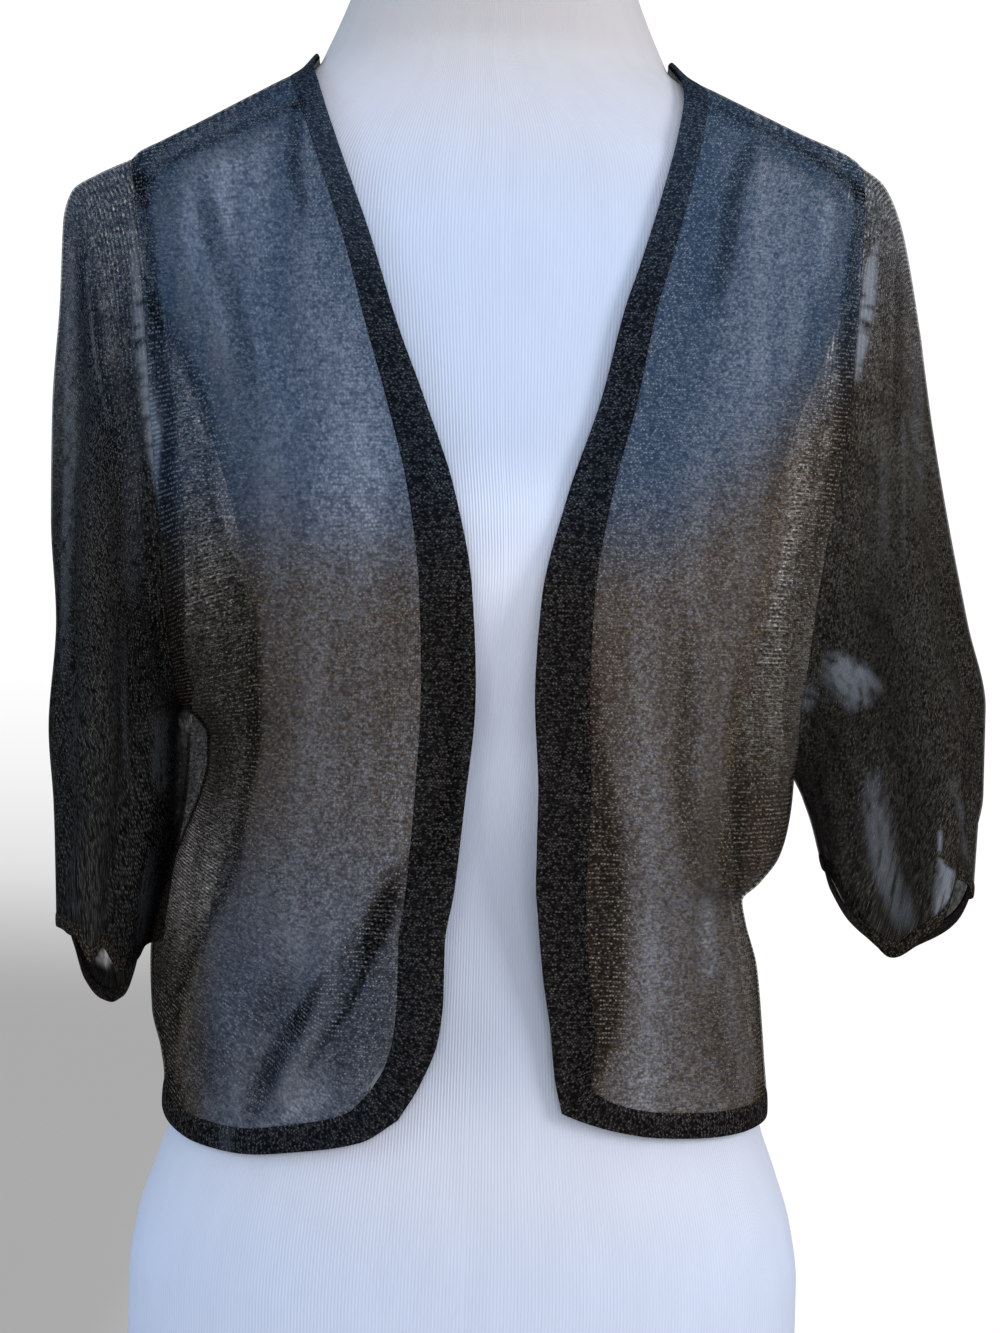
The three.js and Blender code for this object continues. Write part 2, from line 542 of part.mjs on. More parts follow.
function frontPieces(half) {
  const edge = frontEdge(half);
  const hem = frontHem(half);
  const hemBand = half.hem[half.hem.length - 1].band;
  const cells = ruled(edge.inner, sideColumn(half, hemBand), FRONT_COLUMNS);
  const bottom = cells[ROWS].map((cell) => cell.z);
  cells.forEach((row, i) => {
    const sink = Math.max(0, (i - ARM_ROWS) / SIDE_ROWS) ** 2;
    row.forEach((cell, j) => {
      cell.z += sink * (hem.inner[j].z - bottom[j]);
      cell.angle = mix(cell.angle, hem.inner[j].angle, i === ROWS ? 1 : 0);
    });
  });
  const place = onBody(half);
  const all = { top: HALF_GAP, bottom: HALF_GAP, start: HALF_GAP, end: HALF_GAP };
  const panel = wall(cells.map((row) => row.map(place)), { gaps: all });

  const band = ruled(edge.outer, edge.inner, BAND_COLUMNS).map((row) => row.map(place));
  const hemBandCells = ruled(hem.outer, hem.inner, BAND_COLUMNS).map((row) => row.map(place));
  return [
    piece(`front_${half.name}`, "knit", panel),
    piece(`front_band_${half.name}`, "doubled",
      wall(band, doubled({ top: HALF_GAP, bottom: HALF_GAP, end: HALF_GAP }))),
    piece(`hem_band_${half.name}`, "doubled",
      wall(hemBandCells, doubled({ top: HALF_GAP, bottom: HALF_GAP, end: HALF_GAP }))),
  ];
}

// ---------------------------------------------------------------- back

// The back is drawn from the right side seam (-90) over the middle (0) to the left (90).
function backPoint({ angle, z }) {
  return bodyPoint(angle < 0 ? RIGHT : LEFT, 180 - Math.abs(angle), z);
}

function backPieces() {
  const right = sideColumn(RIGHT, BACK_HEM_BAND);
  const left = sideColumn(LEFT, BACK_HEM_BAND);
  const neck = columns(BACK_NECK, "angle");
  const hemHeight = column(BACK_HEM, "x", "z");
  const total = 2 * RIDGE_COLUMNS + NECK_COLUMNS;

  const top = [];
  const neckInner = [];
  const neckOuter = [];
  const ridgeEnd = neck.z(-CORNER) - neck.band(-CORNER);
  for (let j = 0; j < RIDGE_COLUMNS; j++) {
    top.push({ angle: -CORNER, z: mix(RIGHT.tip, ridgeEnd, j / RIDGE_COLUMNS) });
  }
  for (let j = 0; j <= NECK_COLUMNS; j++) {
    const angle = mix(-CORNER, CORNER, j / NECK_COLUMNS);
    neckOuter.push({ angle, z: neck.z(angle) });
    neckInner.push({ angle, z: neck.z(angle) - neck.band(angle) });
  }
  top.push(...neckInner);
  for (let j = 1; j <= RIDGE_COLUMNS; j++) {
    top.push({ angle: CORNER, z: mix(ridgeEnd, LEFT.tip, j / RIDGE_COLUMNS) });
  }

  const hemInner = [];
  const hemOuter = [];
  for (let j = 0; j <= total; j++) {
    const angle = mix(-CORNER, CORNER, j / total);
    const half = angle < 0 ? RIGHT : LEFT;
    const x = body[half.key](half.hemSide) * Math.sin(radians(angle));
    hemOuter.push({ angle, z: hemHeight(x) });
    hemInner.push({ angle, z: hemHeight(x) + BACK_HEM_BAND });
  }

  // Rows run straight between the two sides, then take up the top and the hem: each
  // adds its own departure from a straight row, fading with the distance from it.
  const cells = right.map((cell, i) => {
    const fromTop = (1 - i / ROWS) ** 5;
    const fromHem = (i / ROWS) ** 5;
    return top.map((topCell, j) => {
      const u = j / total;
      const rightAngle = -cell.angle;
      const straightTop = { angle: mix(-CORNER, CORNER, u), z: mix(RIGHT.tip, LEFT.tip, u) };
      const straightHem = mix(hemInner[0].z, hemInner[total].z, u);
      return {
        angle: mix(rightAngle, left[i].angle, u) + fromTop * (topCell.angle - straightTop.angle),
        z: mix(cell.z, left[i].z, u) + fromTop * (topCell.z - straightTop.z)
          + fromHem * (hemInner[j].z - straightHem),
      };
    });
  });
  const all = { top: HALF_GAP, bottom: HALF_GAP, start: HALF_GAP, end: HALF_GAP };
  const place = (grid) => grid.map((row) => row.map(backPoint));
  return [
    piece("back", "knit", wall(place(cells), { gaps: all })),
    piece("neck_band_back", "doubled",
      wall(place(ruled(neckOuter, neckInner, BAND_COLUMNS)),
        doubled({ top: HALF_GAP, bottom: HALF_GAP, end: HALF_GAP }))),
    piece("hem_band_back", "doubled",
      wall(place(ruled(hemOuter, hemInner, BAND_COLUMNS)),
        doubled({ top: HALF_GAP, bottom: HALF_GAP, end: HALF_GAP }))),
  ];
}

// ---------------------------------------------------------------- sleeves

const SLEEVE_STATIONS = [0, 0.05, 0.11, 0.17, 0.25, 0.34, 0.43, 0.52, 0.61, 0.7, 0.78, 0.86];

// The sleeve surface: a point at `angle` round the sleeve and station t along it.
// It starts on the armhole: what the armhole adds to the plain tube fades out by
// t = ARMHOLE_REACH.
const ARMHOLE_REACH = 0.4;
const CUFF_REACH = 0.55;

function sleeveSurface(half) {
  const run = columns(SLEEVES[half.name], "t");
  const drop = column(CUFF_DROP[half.name], "angle", "drop");
  const seam = column(half.seam, "z", "x");

  const tube = (angle, t) => {
    const c = Math.cos(radians(angle));
    const s = Math.sin(radians(angle));
    const x = mix(run.inX(t), run.outX(t), (1 + c) / 2);
    const z = mix(run.inZ(t), run.outZ(t), (1 + c) / 2);
    const y = -s * (s > 0 ? run.front(t) : run.back(t));
    const turn = ((angle % 360) + 360) % 360;
    return new THREE.Vector3(half.side * x, y, z + drop(turn) * ease(t, CUFF_REACH, 1) ** 1.5);
  };
  const armhole = (angle) => {
    const share = (1 + Math.cos(radians(angle))) / 2;
    const z = mix(half.under, half.tip, share);
    const turn = ((angle % 360) + 360) % 360;
    const end = share < 1e-9 || share > 1 - 1e-9;
    const section = end ? CORNER : angleAt(half, seam(z), z);
    return bodyPoint(half, turn <= 180 ? section : 180 - section, z).point;
  };
  const base = (angle, t) => {
    const start = armhole(angle).sub(tube(angle, 0));
    const fade = Math.max(0, 1 - Math.max(0, t) / ARMHOLE_REACH) ** 2;
    return tube(angle, t).addScaledVector(start, fade);
  };
  return (angle, t) => {
    const point = base(angle, t);
    const probe = THREE.MathUtils.clamp(t, 0.012, 0.988);
    const inside = new THREE.Vector3(
      half.side * mix(run.inX(probe), run.outX(probe), 0.5), 0,
      mix(run.inZ(probe), run.outZ(probe), 0.5));
    const normal = normalOf(base, angle, probe, 3, 0.01, inside);
    let height = 0;
    for (const fold of SLEEVE_FOLDS[half.name]) {
      const along = (t - fold.from) / (fold.to - fold.from);
      const across = ((angle - fold.angle + 540) % 360) - 180;
      height += foldHeight(fold, across, along);
    }
    point.addScaledVector(normal, height * ease(t, 0, 0.15));
    return { point, normal };
  };
}

function sleevePieces(half) {
  const surface = sleeveSurface(half);
  const spans = 2 * ARM_ROWS;
  const ring = (t) => {
    const cells = [];
    for (let k = 0; k < spans; k++) cells.push(surface(360 * k / spans, t));
    return cells;
  };
  const rings = SLEEVE_STATIONS.map(ring);
  const edge = ring(1);
  const before = rings[rings.length - 1];
  const bandTop = edge.map((cell, k) => {
    const up = before[k].point.clone().sub(cell.point).normalize();
    return { point: cell.point.clone().addScaledVector(up, CUFF_HEIGHT), normal: cell.normal };
  });
  const sleeve = wall([...rings, bandTop],
    { gaps: { top: ARMHOLE_GAP, bottom: CUFF_GAP }, ring: true });
  const cuff = wall([bandTop, edge],
    { out: DOUBLED_OUT, depth: DOUBLED_OUT + DOUBLED_IN, gaps: { top: CUFF_GAP }, ring: true });
  return [
    piece(`sleeve_${half.name}`, "knit", sleeve),
    piece(`cuff_band_${half.name}`, "doubled", cuff),
  ];
}

// ---------------------------------------------------------------- dress form

function dressForm() {
  const form = columns(FORM, "z");
  const levels = [];
  for (let n = 0; n < FORM.length - 1; n++) {
    levels.push(FORM[n].z);
    if (FORM[n + 1].z - FORM[n].z > FORM_STEP) levels.push((FORM[n].z + FORM[n + 1].z) / 2);
  }
  levels.push(FORM[FORM.length - 1].z);
  const positions = [];
  for (const z of levels) {
    for (let k = 0; k < FORM_SIDES; k++) {
      const p = sectionPoint(360 * k / FORM_SIDES, z, form.half(z), form.front(z), form.back(z));
      positions.push(form.midX(z) + p.x, form.midY(z) + p.y, z);
    }
  }
  const at = (i, k) => i * FORM_SIDES + (k % FORM_SIDES);
  const indices = [];
  for (let i = 0; i < levels.length - 1; i++) {
    for (let k = 0; k < FORM_SIDES; k++) {
      indices.push(at(i, k), at(i + 1, k), at(i + 1, k + 1));
      indices.push(at(i, k), at(i + 1, k + 1), at(i, k + 1));
    }
  }
  for (const i of [0, levels.length - 1]) {
    for (let k = 1; k < FORM_SIDES - 1; k++) {
      if (i === 0) indices.push(at(i, 0), at(i, k), at(i, k + 1));
      else indices.push(at(i, 0), at(i, k + 1), at(i, k));
    }
  }
  return piece("dress_form", "cover", closedGeometry(positions, indices));
}

// ---------------------------------------------------------------- assembly

const cardigan = new THREE.Group();
cardigan.add(dressForm());
cardigan.add(...backPieces());
for (const half of [RIGHT, LEFT]) cardigan.add(...frontPieces(half), ...sleevePieces(half));

export default cardigan;
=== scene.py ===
"""Open-front cardigan of sheer metallic knit on a limbless dress form.

Each cut piece of the cardigan is a surface worked out with numpy from the same
tables and formulas as its solid, with finer folds. The panels and sleeves get a thin
wall, and the doubled edges are flat tubes. Three drapes go beyond the solids: the
right cuff hangs up to 8 mm lower, the back flares behind the right side seam, and the
right sleeve leans in behind. Right, at -X, and left, at +X, are the wearer's.
Lengths in the tables are millimetres, meshes are metres.
"""
import math

import bmesh
import bpy
import numpy as np
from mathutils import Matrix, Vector


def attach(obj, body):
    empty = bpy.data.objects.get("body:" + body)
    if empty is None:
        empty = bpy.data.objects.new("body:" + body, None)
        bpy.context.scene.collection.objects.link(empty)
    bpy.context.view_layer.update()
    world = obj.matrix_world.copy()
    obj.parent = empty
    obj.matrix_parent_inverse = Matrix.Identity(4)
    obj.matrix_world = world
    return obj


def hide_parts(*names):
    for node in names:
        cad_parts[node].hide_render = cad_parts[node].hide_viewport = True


bl_info = {
    "name": "Sheer knit cardigan",
    "version": (1, 0, 0),
    "blender": (4, 5, 0),
    "location": "3D View > Sidebar > Cardigan",
    "description": "Builds an open-front knitted cardigan on its dress form",
    "category": "Object",
}

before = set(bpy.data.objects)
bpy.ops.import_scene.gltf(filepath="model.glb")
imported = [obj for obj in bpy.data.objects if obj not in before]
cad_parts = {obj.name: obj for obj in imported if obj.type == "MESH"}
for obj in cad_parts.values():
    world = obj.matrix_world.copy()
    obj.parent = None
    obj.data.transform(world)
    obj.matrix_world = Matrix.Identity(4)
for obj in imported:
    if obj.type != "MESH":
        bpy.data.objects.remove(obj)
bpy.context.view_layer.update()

MM = 0.001

# The power of the sections' curves, the angle of the side seams, the rows and columns
# that the panels are laid out on, the widths of two bands, and along the sleeve the last
# full ring, how far the armhole's shape reaches and where the cuff starts to hang.
SQUARENESS = 0.91
CORNER = 90.0
ARM_ROWS = 12
SIDE_ROWS = 10
ROWS = ARM_ROWS + SIDE_ROWS
RIDGE_COLUMNS = 5
NECK_COLUMNS = 10
BACK_COLUMNS = 2 * RIDGE_COLUMNS + NECK_COLUMNS
BACK_HEM_BAND = 13
CUFF_HEIGHT = 7
LAST_RING = 0.86
ARMHOLE_REACH = 0.4
CUFF_REACH = 0.55

# Share of the light that passes one face of the knit: lying on the form, hanging off it,
# and in the doubled edges low down and near the neck.
TOUCHING = 0.66
HANGING = 0.54
DOUBLED = 0.07
DOUBLED_HIGH = 0.2

# The doubled edges: half their thickness, and their middle off the cloth's outer face,
# how far the cuff's fold reaches over its height, and the room left in the uv between
# the outside of an edge and its inside.
BAND_HALF = 1.0
BAND_LIFT = -0.5
CUFF_OVERLAP = 1.12
BAND_UV_GAP = 40
CUFF_UV_GAP = 50.0

# Girth that the form's cover is cut to, and length of knit for each mm of height.
COVER_GIRTH = 1150.0
COURSE_STRETCH = 1.03

# Distances over which tones change: how far off the form the knit still lies on it, how
# wide the front band's shade is, and where past the form's outline the cloth hangs free.
TOUCH_FADE = 9.0
BAND_SHADE = 22
OUTLINE = (-3, 1)

# Heights between which the knit over the bust and the edges near the neck change tone: they
# grow clearer, and by the pairs ending in DEEP they lose part of their painted shade.
BUST = (470, 540)
BUST_DEEP = (470, 520)
COLLAR_CLEAR = (560, 700)
COLLAR_DEEP = (590, 700)

# Where the painted cool light from above takes over from the painted brownish light, turning
# the thread from bronze to blue: its height, how far to the left it starts to climb towards
# the armhole, the most it climbs, and half the height over which it turns.
THREAD_TURN = 488
ARMHOLE_START = 90
ARMHOLE_RUN = 110
THREAD_HALF = 38

# How much light passes the clear places on the inner back of the right sleeve.
SMOOTH = 0.72

# The knit's make in metres: its holes' and its specks' cells, and one pair of courses,
# and then the pitch of the ribs in the form's cover.
HOLE_CELL = (0.0021, 0.0019)
SPECK_CELL = (0.0015, 0.0012)
COURSE_PITCH = 0.0024
RIB_PITCH = 0.0021

# Colours of the knit, its thread, the form's cover and the floor. The yarn's blue and brown
# colours are painted light, a cool one from above and a brownish one below, and painted shade
# darkens it towards its own near-black DARK_YARN. The thread's bronze and pewter show as painted
# glints, bluish in the painted cool light, and SHEEN is a painted sheen. The cover's blue colour
# is its own faint cast with painted cool light from above, and the floor glows, lit and in a
# painted shade.
YARN_IN_PAINTED_COOL_LIGHT = (0.017, 0.036, 0.072, 1)
YARN_IN_PAINTED_BROWN_LIGHT = (0.034, 0.022, 0.014, 1)
DARK_YARN = (0.002, 0.002, 0.002, 1)
SHEEN = (0.25, 0.285, 0.35, 1)
PAINTED_COOL_GLINT = (0.40, 0.49, 0.61, 1)
PEWTER = (0.46, 0.45, 0.44, 1)
BRONZE = (0.50, 0.42, 0.30, 1)
WARM_COVER = (0.66, 0.64, 0.67, 1)
COVER_IN_PAINTED_COOL_LIGHT = (0.57, 0.665, 0.88, 1)
LIT_FLOOR = (1.02, 1.02, 1.02, 1)
SHADED_FLOOR = (0.36, 0.36, 0.36, 1)


# ---------------------------------------------------------------- tables

def table(names, *rows):
    """Named columns of a table, one array each."""
    return dict(zip(names.split(), np.array(rows, float).T))


def streak(*rows):
    """The table of a streak. A row may leave out the zeros at its end."""
    return table("at place width dark pale rise", *(row + (0,) * (6 - len(row)) for row in rows))


# The dress form: half width, depth to the front and the back, and its middle.
FORM = table(
    "z half front back midX midY",
    (0, 174, 100, 116, 0, 0), (8, 177, 103, 119, 0, 0), (60, 179, 106, 122, 0, 0),
    (98, 179, 108, 123, 0, 0), (130, 174.5, 110, 122, 0, 0), (157, 166, 111, 118, 0, 0),
    (185, 156.5, 110.5, 112, 0, 0), (215, 152.5, 109, 104, 0, 0),
    (250, 147, 106, 96, 0, 0), (302, 138, 98, 83, 0, 0), (340, 129.5, 93, 77, 3, 0),
    (376, 126, 93, 76, 6, 0), (430, 131, 105, 83, 10, 0), (470, 138, 117, 90, 12, 0),
    (500, 144, 122, 95, 11, 0), (530, 151, 120, 99, 9, 0), (563, 162, 115, 102, 8, 0),
    (600, 177, 108, 104, 7, 1), (640, 190, 100, 102, 6, 2), (664, 191, 94, 98, 6, 4),
    (680, 186.5, 90, 95, 6, 5), (692, 177, 86, 91, 6, 6), (704, 161, 81, 86, 5, 7),
    (720, 134, 74, 78, 3, 8), (734, 108, 67.5, 71, 1, 8), (743, 96, 63.5, 67, 0, 8),
    (754, 90, 60, 64, 0, 6), (783, 77, 59, 61, 0, 1), (812, 67, 59, 60, 0, -5),
    (824, 64.5, 58.5, 59.5, 0, -7), (828, 61, 55, 56, 0, -8),
)

# Painted shade and light on the form's cover by height: how light it is against its mean,
# and how blue the painted cool light from above makes it.
COVER_PAINTED_LIGHT = table(
    "z light blue", (0, 0.85, 0.72), (70, 0.86, 0.72), (108, 0.865, 0.76), (178, 0.84, 0.52),
    (243, 0.66, 0.7), (300, 0.74, 0.7), (378, 1.1, 0.61), (455, 1.16, 0.58), (500, 0.92, 0.8),
    (539, 0.75, 0.95), (620, 0.74, 1), (680, 0.73, 0.7), (718, 0.72, 0.35), (765, 0.67, 0),
    (828, 0.64, 0))

# The cloth round the body, and how far the back swings out past the right seam.
BODY = table(
    "z right left front back mid swing",
    (150, 163.5, 161.5, 115, 122, 0, 0), (185, 163.5, 161, 115.5, 118, 0, 0),
    (200, 163, 160.5, 116, 116, 0, 0), (215, 165, 159, 116, 114, 0, 0),
    (237, 170.5, 157, 116, 111, 0, 0), (267, 172, 153.5, 116.5, 107, 0, 0),
    (290, 168.5, 147, 117, 105, 0, 0), (302, 165, 145, 117.5, 104, 0, 0),
    (312, 162.5, 154, 118, 103.5, 0, 1), (326, 158, 164, 118.5, 103, 0, 5),
    (340, 152.5, 168, 119, 102, 0, 10), (354, 147.5, 170, 119.5, 102, 0, 14),
    (368, 144.5, 171, 120, 102, 0, 17), (382, 144.5, 173, 120.5, 102, 0, 15),
    (392, 150.5, 175, 121, 102.5, 0, 6), (400, 160, 176, 121.5, 102.5, 0, 0),
    (430, 167, 184, 124, 103, 0, 0), (470, 176, 195, 127, 105, 0, 0),
    (514, 186, 204, 127, 108, 0, 0), (560, 195, 211, 121, 110, 0, 0),
    (606, 201, 213, 113, 110.5, 1, 0), (650, 203, 211, 104, 107, 3, 0),
    (680, 200, 207, 95.5, 100.5, 5, 0), (692, 193, 203, 91.5, 97, 6, 0),
    (698, 182, 198, 89.5, 95, 6, 0), (710, 160, 172, 84, 89.5, 7, 0),
    (720, 142, 150.5, 80, 84.5, 7.5, 0), (730, 124, 129, 75, 79.5, 8, 0),
    (740, 106, 108, 70, 74, 8, 0), (752, 95.5, 95, 65, 69, 6.5, 0),
)

# Each half: side, heights of shoulder tip, underarm and hem at the side seam, the
# armhole seam, the front edge with its band, the hem with its band, the sleeve from
# armhole (t = 0) to cuff (t = 1), and how far the cuff hangs off its plane.
RIGHT = {
    "name": "right", "side": -1, "tip": 692, "under": 400, "hem_side": 185,
    "seam": table(
        "z x", (400, 160), (430, 162.5), (470, 165), (514, 168), (560, 172.5),
        (606, 178), (650, 184), (677, 189), (692, 193)),
    "edge": table(
        "z x band rise", (199, 34, 14, 14), (218, 23, 18, 8), (240, 15, 22, 3),
        (260, 13, 23, 1), (286, 13, 23, 0), (313, 9, 24, 0), (356, 5, 25, 0),
        (407, 1, 27, 0), (461, 4, 26, 0), (510, 14, 23, 0), (555, 30, 19, 0),
        (591, 44, 16, 0), (639, 60, 14, 0), (690, 79, 13, 0), (725, 91, 12.5, -3),
        (743, 96, 12, -8), (752, 95.5, 12, -13)),
    "hem": table(
        "x z band shift", (34, 199, 14, 14), (52, 187, 14, 8), (82, 180, 14, 2),
        (118, 175, 13, 0), (138, 176, 13, 0), (154, 180, 13, 0), (163, 185, 13, 0)),
    "sleeve": table(
        "t outX outZ inX inZ front back",
        (0.00, 193, 692, 160, 400, 52, 55), (0.06, 212, 683, 160.4, 397, 54, 57),
        (0.11, 225, 674, 160.7, 395, 56, 59), (0.16, 229, 658, 160.9, 392, 58, 61),
        (0.25, 229.5, 618, 161.1, 386, 61, 64), (0.38, 232, 560, 161.4, 377, 65, 68),
        (0.50, 231, 500, 161.8, 366, 68, 71), (0.62, 226.5, 440, 162.4, 352, 71, 74),
        (0.72, 229, 390, 164, 337, 73, 75), (0.82, 225, 345, 168, 317, 74, 76),
        (0.92, 222.5, 305, 173, 292, 75, 76), (1.00, 221, 277, 176, 268, 75, 76)),
    "drop": table(
        "angle drop", (0, 0), (45, 6), (80, 7), (103, -4), (120, 4), (142, -9),
        (165, -5), (180, 0), (215, -4), (240, -17), (255, -30), (270, -44),
        (285, -48), (300, -46), (321, -34), (338, -13), (350, -2), (360, 0)),
}
LEFT = {
    "name": "left", "side": 1, "tip": 698, "under": 368, "hem_side": 188,
    "seam": table(
        "z x", (368, 171), (400, 169), (425, 171), (460, 173.5), (484, 176.5),
        (523, 183), (567, 188), (619, 193), (650, 195.5), (685, 198), (698, 198)),
    "edge": table(
        "z x band rise", (204, 47, 14, 12), (221, 43, 19, 5), (246, 40, 22, 0),
        (270, 36, 23, 0), (296, 33, 24, 0), (320, 31, 25, 0), (359, 31, 26, 0),
        (414, 28, 27, 0), (457, 30, 26, 0), (507, 41, 22, 0), (557, 57, 18, 0),
        (603, 68, 16, 0), (628, 76, 15, 0), (670, 88, 13.5, 0), (699, 95, 13, 0),
        (725, 99, 12.5, -3), (740, 98, 12, -8), (752, 95, 12, -13)),
    "hem": table(
        "x z band shift", (47, 204, 12, 14), (58, 199.5, 13, 8), (76, 194, 13, 2),
        (97, 190, 13, 0), (139, 187, 13, 0), (160, 188, 13, 0)),
    "sleeve": table(
        "t outX outZ inX inZ front back",
        (0.00, 198, 698, 171, 368, 55, 58), (0.05, 210, 689, 171.9, 366.5, 57, 60),
        (0.11, 219, 671, 173, 364.5, 59, 62), (0.17, 225.5, 645, 174, 362.5, 61, 64),
        (0.25, 232, 610, 175.4, 360, 63, 66), (0.36, 240, 560, 177, 356.5, 66, 69),
        (0.48, 250, 508, 178.8, 352, 68, 71), (0.60, 262, 453, 180.8, 347, 70, 72),
        (0.70, 272.5, 408, 182.8, 341.5, 70, 72), (0.80, 272.5, 362, 184.8, 335.5, 69, 71),
        (0.90, 268.5, 335, 187, 328.5, 68, 70), (1.00, 268, 304, 189.5, 321, 67, 69)),
    "drop": table(
        "angle drop", (0, 0), (25, 4), (45, 11), (58, 12), (72, -10), (90, -24),
        (111, -36), (129, -29), (147, -20), (165, -12), (180, -2), (205, -6),
        (230, -16), (250, -28), (268, -40), (283, -47), (310, -34), (342, -15),
        (360, 0)),
}
BACK_NECK = table(
    "angle z band", (-90, 752, 13), (-50, 747, 13), (0, 743, 13), (50, 747, 13), (90, 752, 13))
BACK_HEM = table("x z", (-163, 185), (-80, 180), (0, 178), (80, 182), (160, 188))

# Main folds of the body: ridges (+) and troughs (-) along straight runs seen from the
# front or the back, x outwards. The solids have the same ones.
BODY_FOLDS = {
    ("front", -1): table(
        "x1 z1 x2 z2 width height",
        (90, 684, 84, 560, 11, 5), (122, 668, 112, 530, 13, 5),
        (150, 640, 140, 420, 14, 6), (62, 300, 96, 200, 8, 6),
        (84, 290, 110, 200, 8, -5), (120, 260, 122, 195, 8, 6)),
    ("front", 1): table(
        "x1 z1 x2 z2 width height",
        (130, 684, 120, 580, 12, 6), (108, 450, 110, 330, 11, 6),
        (84, 420, 76, 220, 11, 5), (136, 380, 122, 250, 11, -6)),
    ("back", -1): table(
        "x1 z1 x2 z2 width height",
        (118, 600, 126, 200, 15, 7), (70, 520, 62, 215, 15, 6), (20, 430, 8, 200, 14, 6)),
    ("back", 1): table(
        "x1 z1 x2 z2 width height",
        (48, 560, 44, 205, 15, 7), (96, 470, 104, 210, 14, 6),
        (140, 560, 134, 330, 13, 7)),
}

# Main folds of the sleeves, along the sleeve at an angle round it.
SLEEVE_FOLDS = {
    -1: table(
        "angle from to width height",
        (52, 0.10, 1.05, 15, -8), (88, 0.15, 0.85, 14, 6), (126, 0.20, 1.05, 15, -8),
        (232, 0.15, 1.05, 16, -8), (270, 0.25, 1.05, 14, 6), (312, 0.10, 0.90, 15, -7)),
    1: table(
        "angle from to width height",
        (40, 0.12, 0.95, 14, -8), (72, 0.25, 1.05, 14, 7), (108, 0.12, 1.05, 15, -8),
        (142, 0.35, 1.05, 13, 5), (222, 0.20, 1.05, 16, -8), (262, 0.12, 0.90, 15, 7),
        (306, 0.20, 1.05, 15, -8)),
}
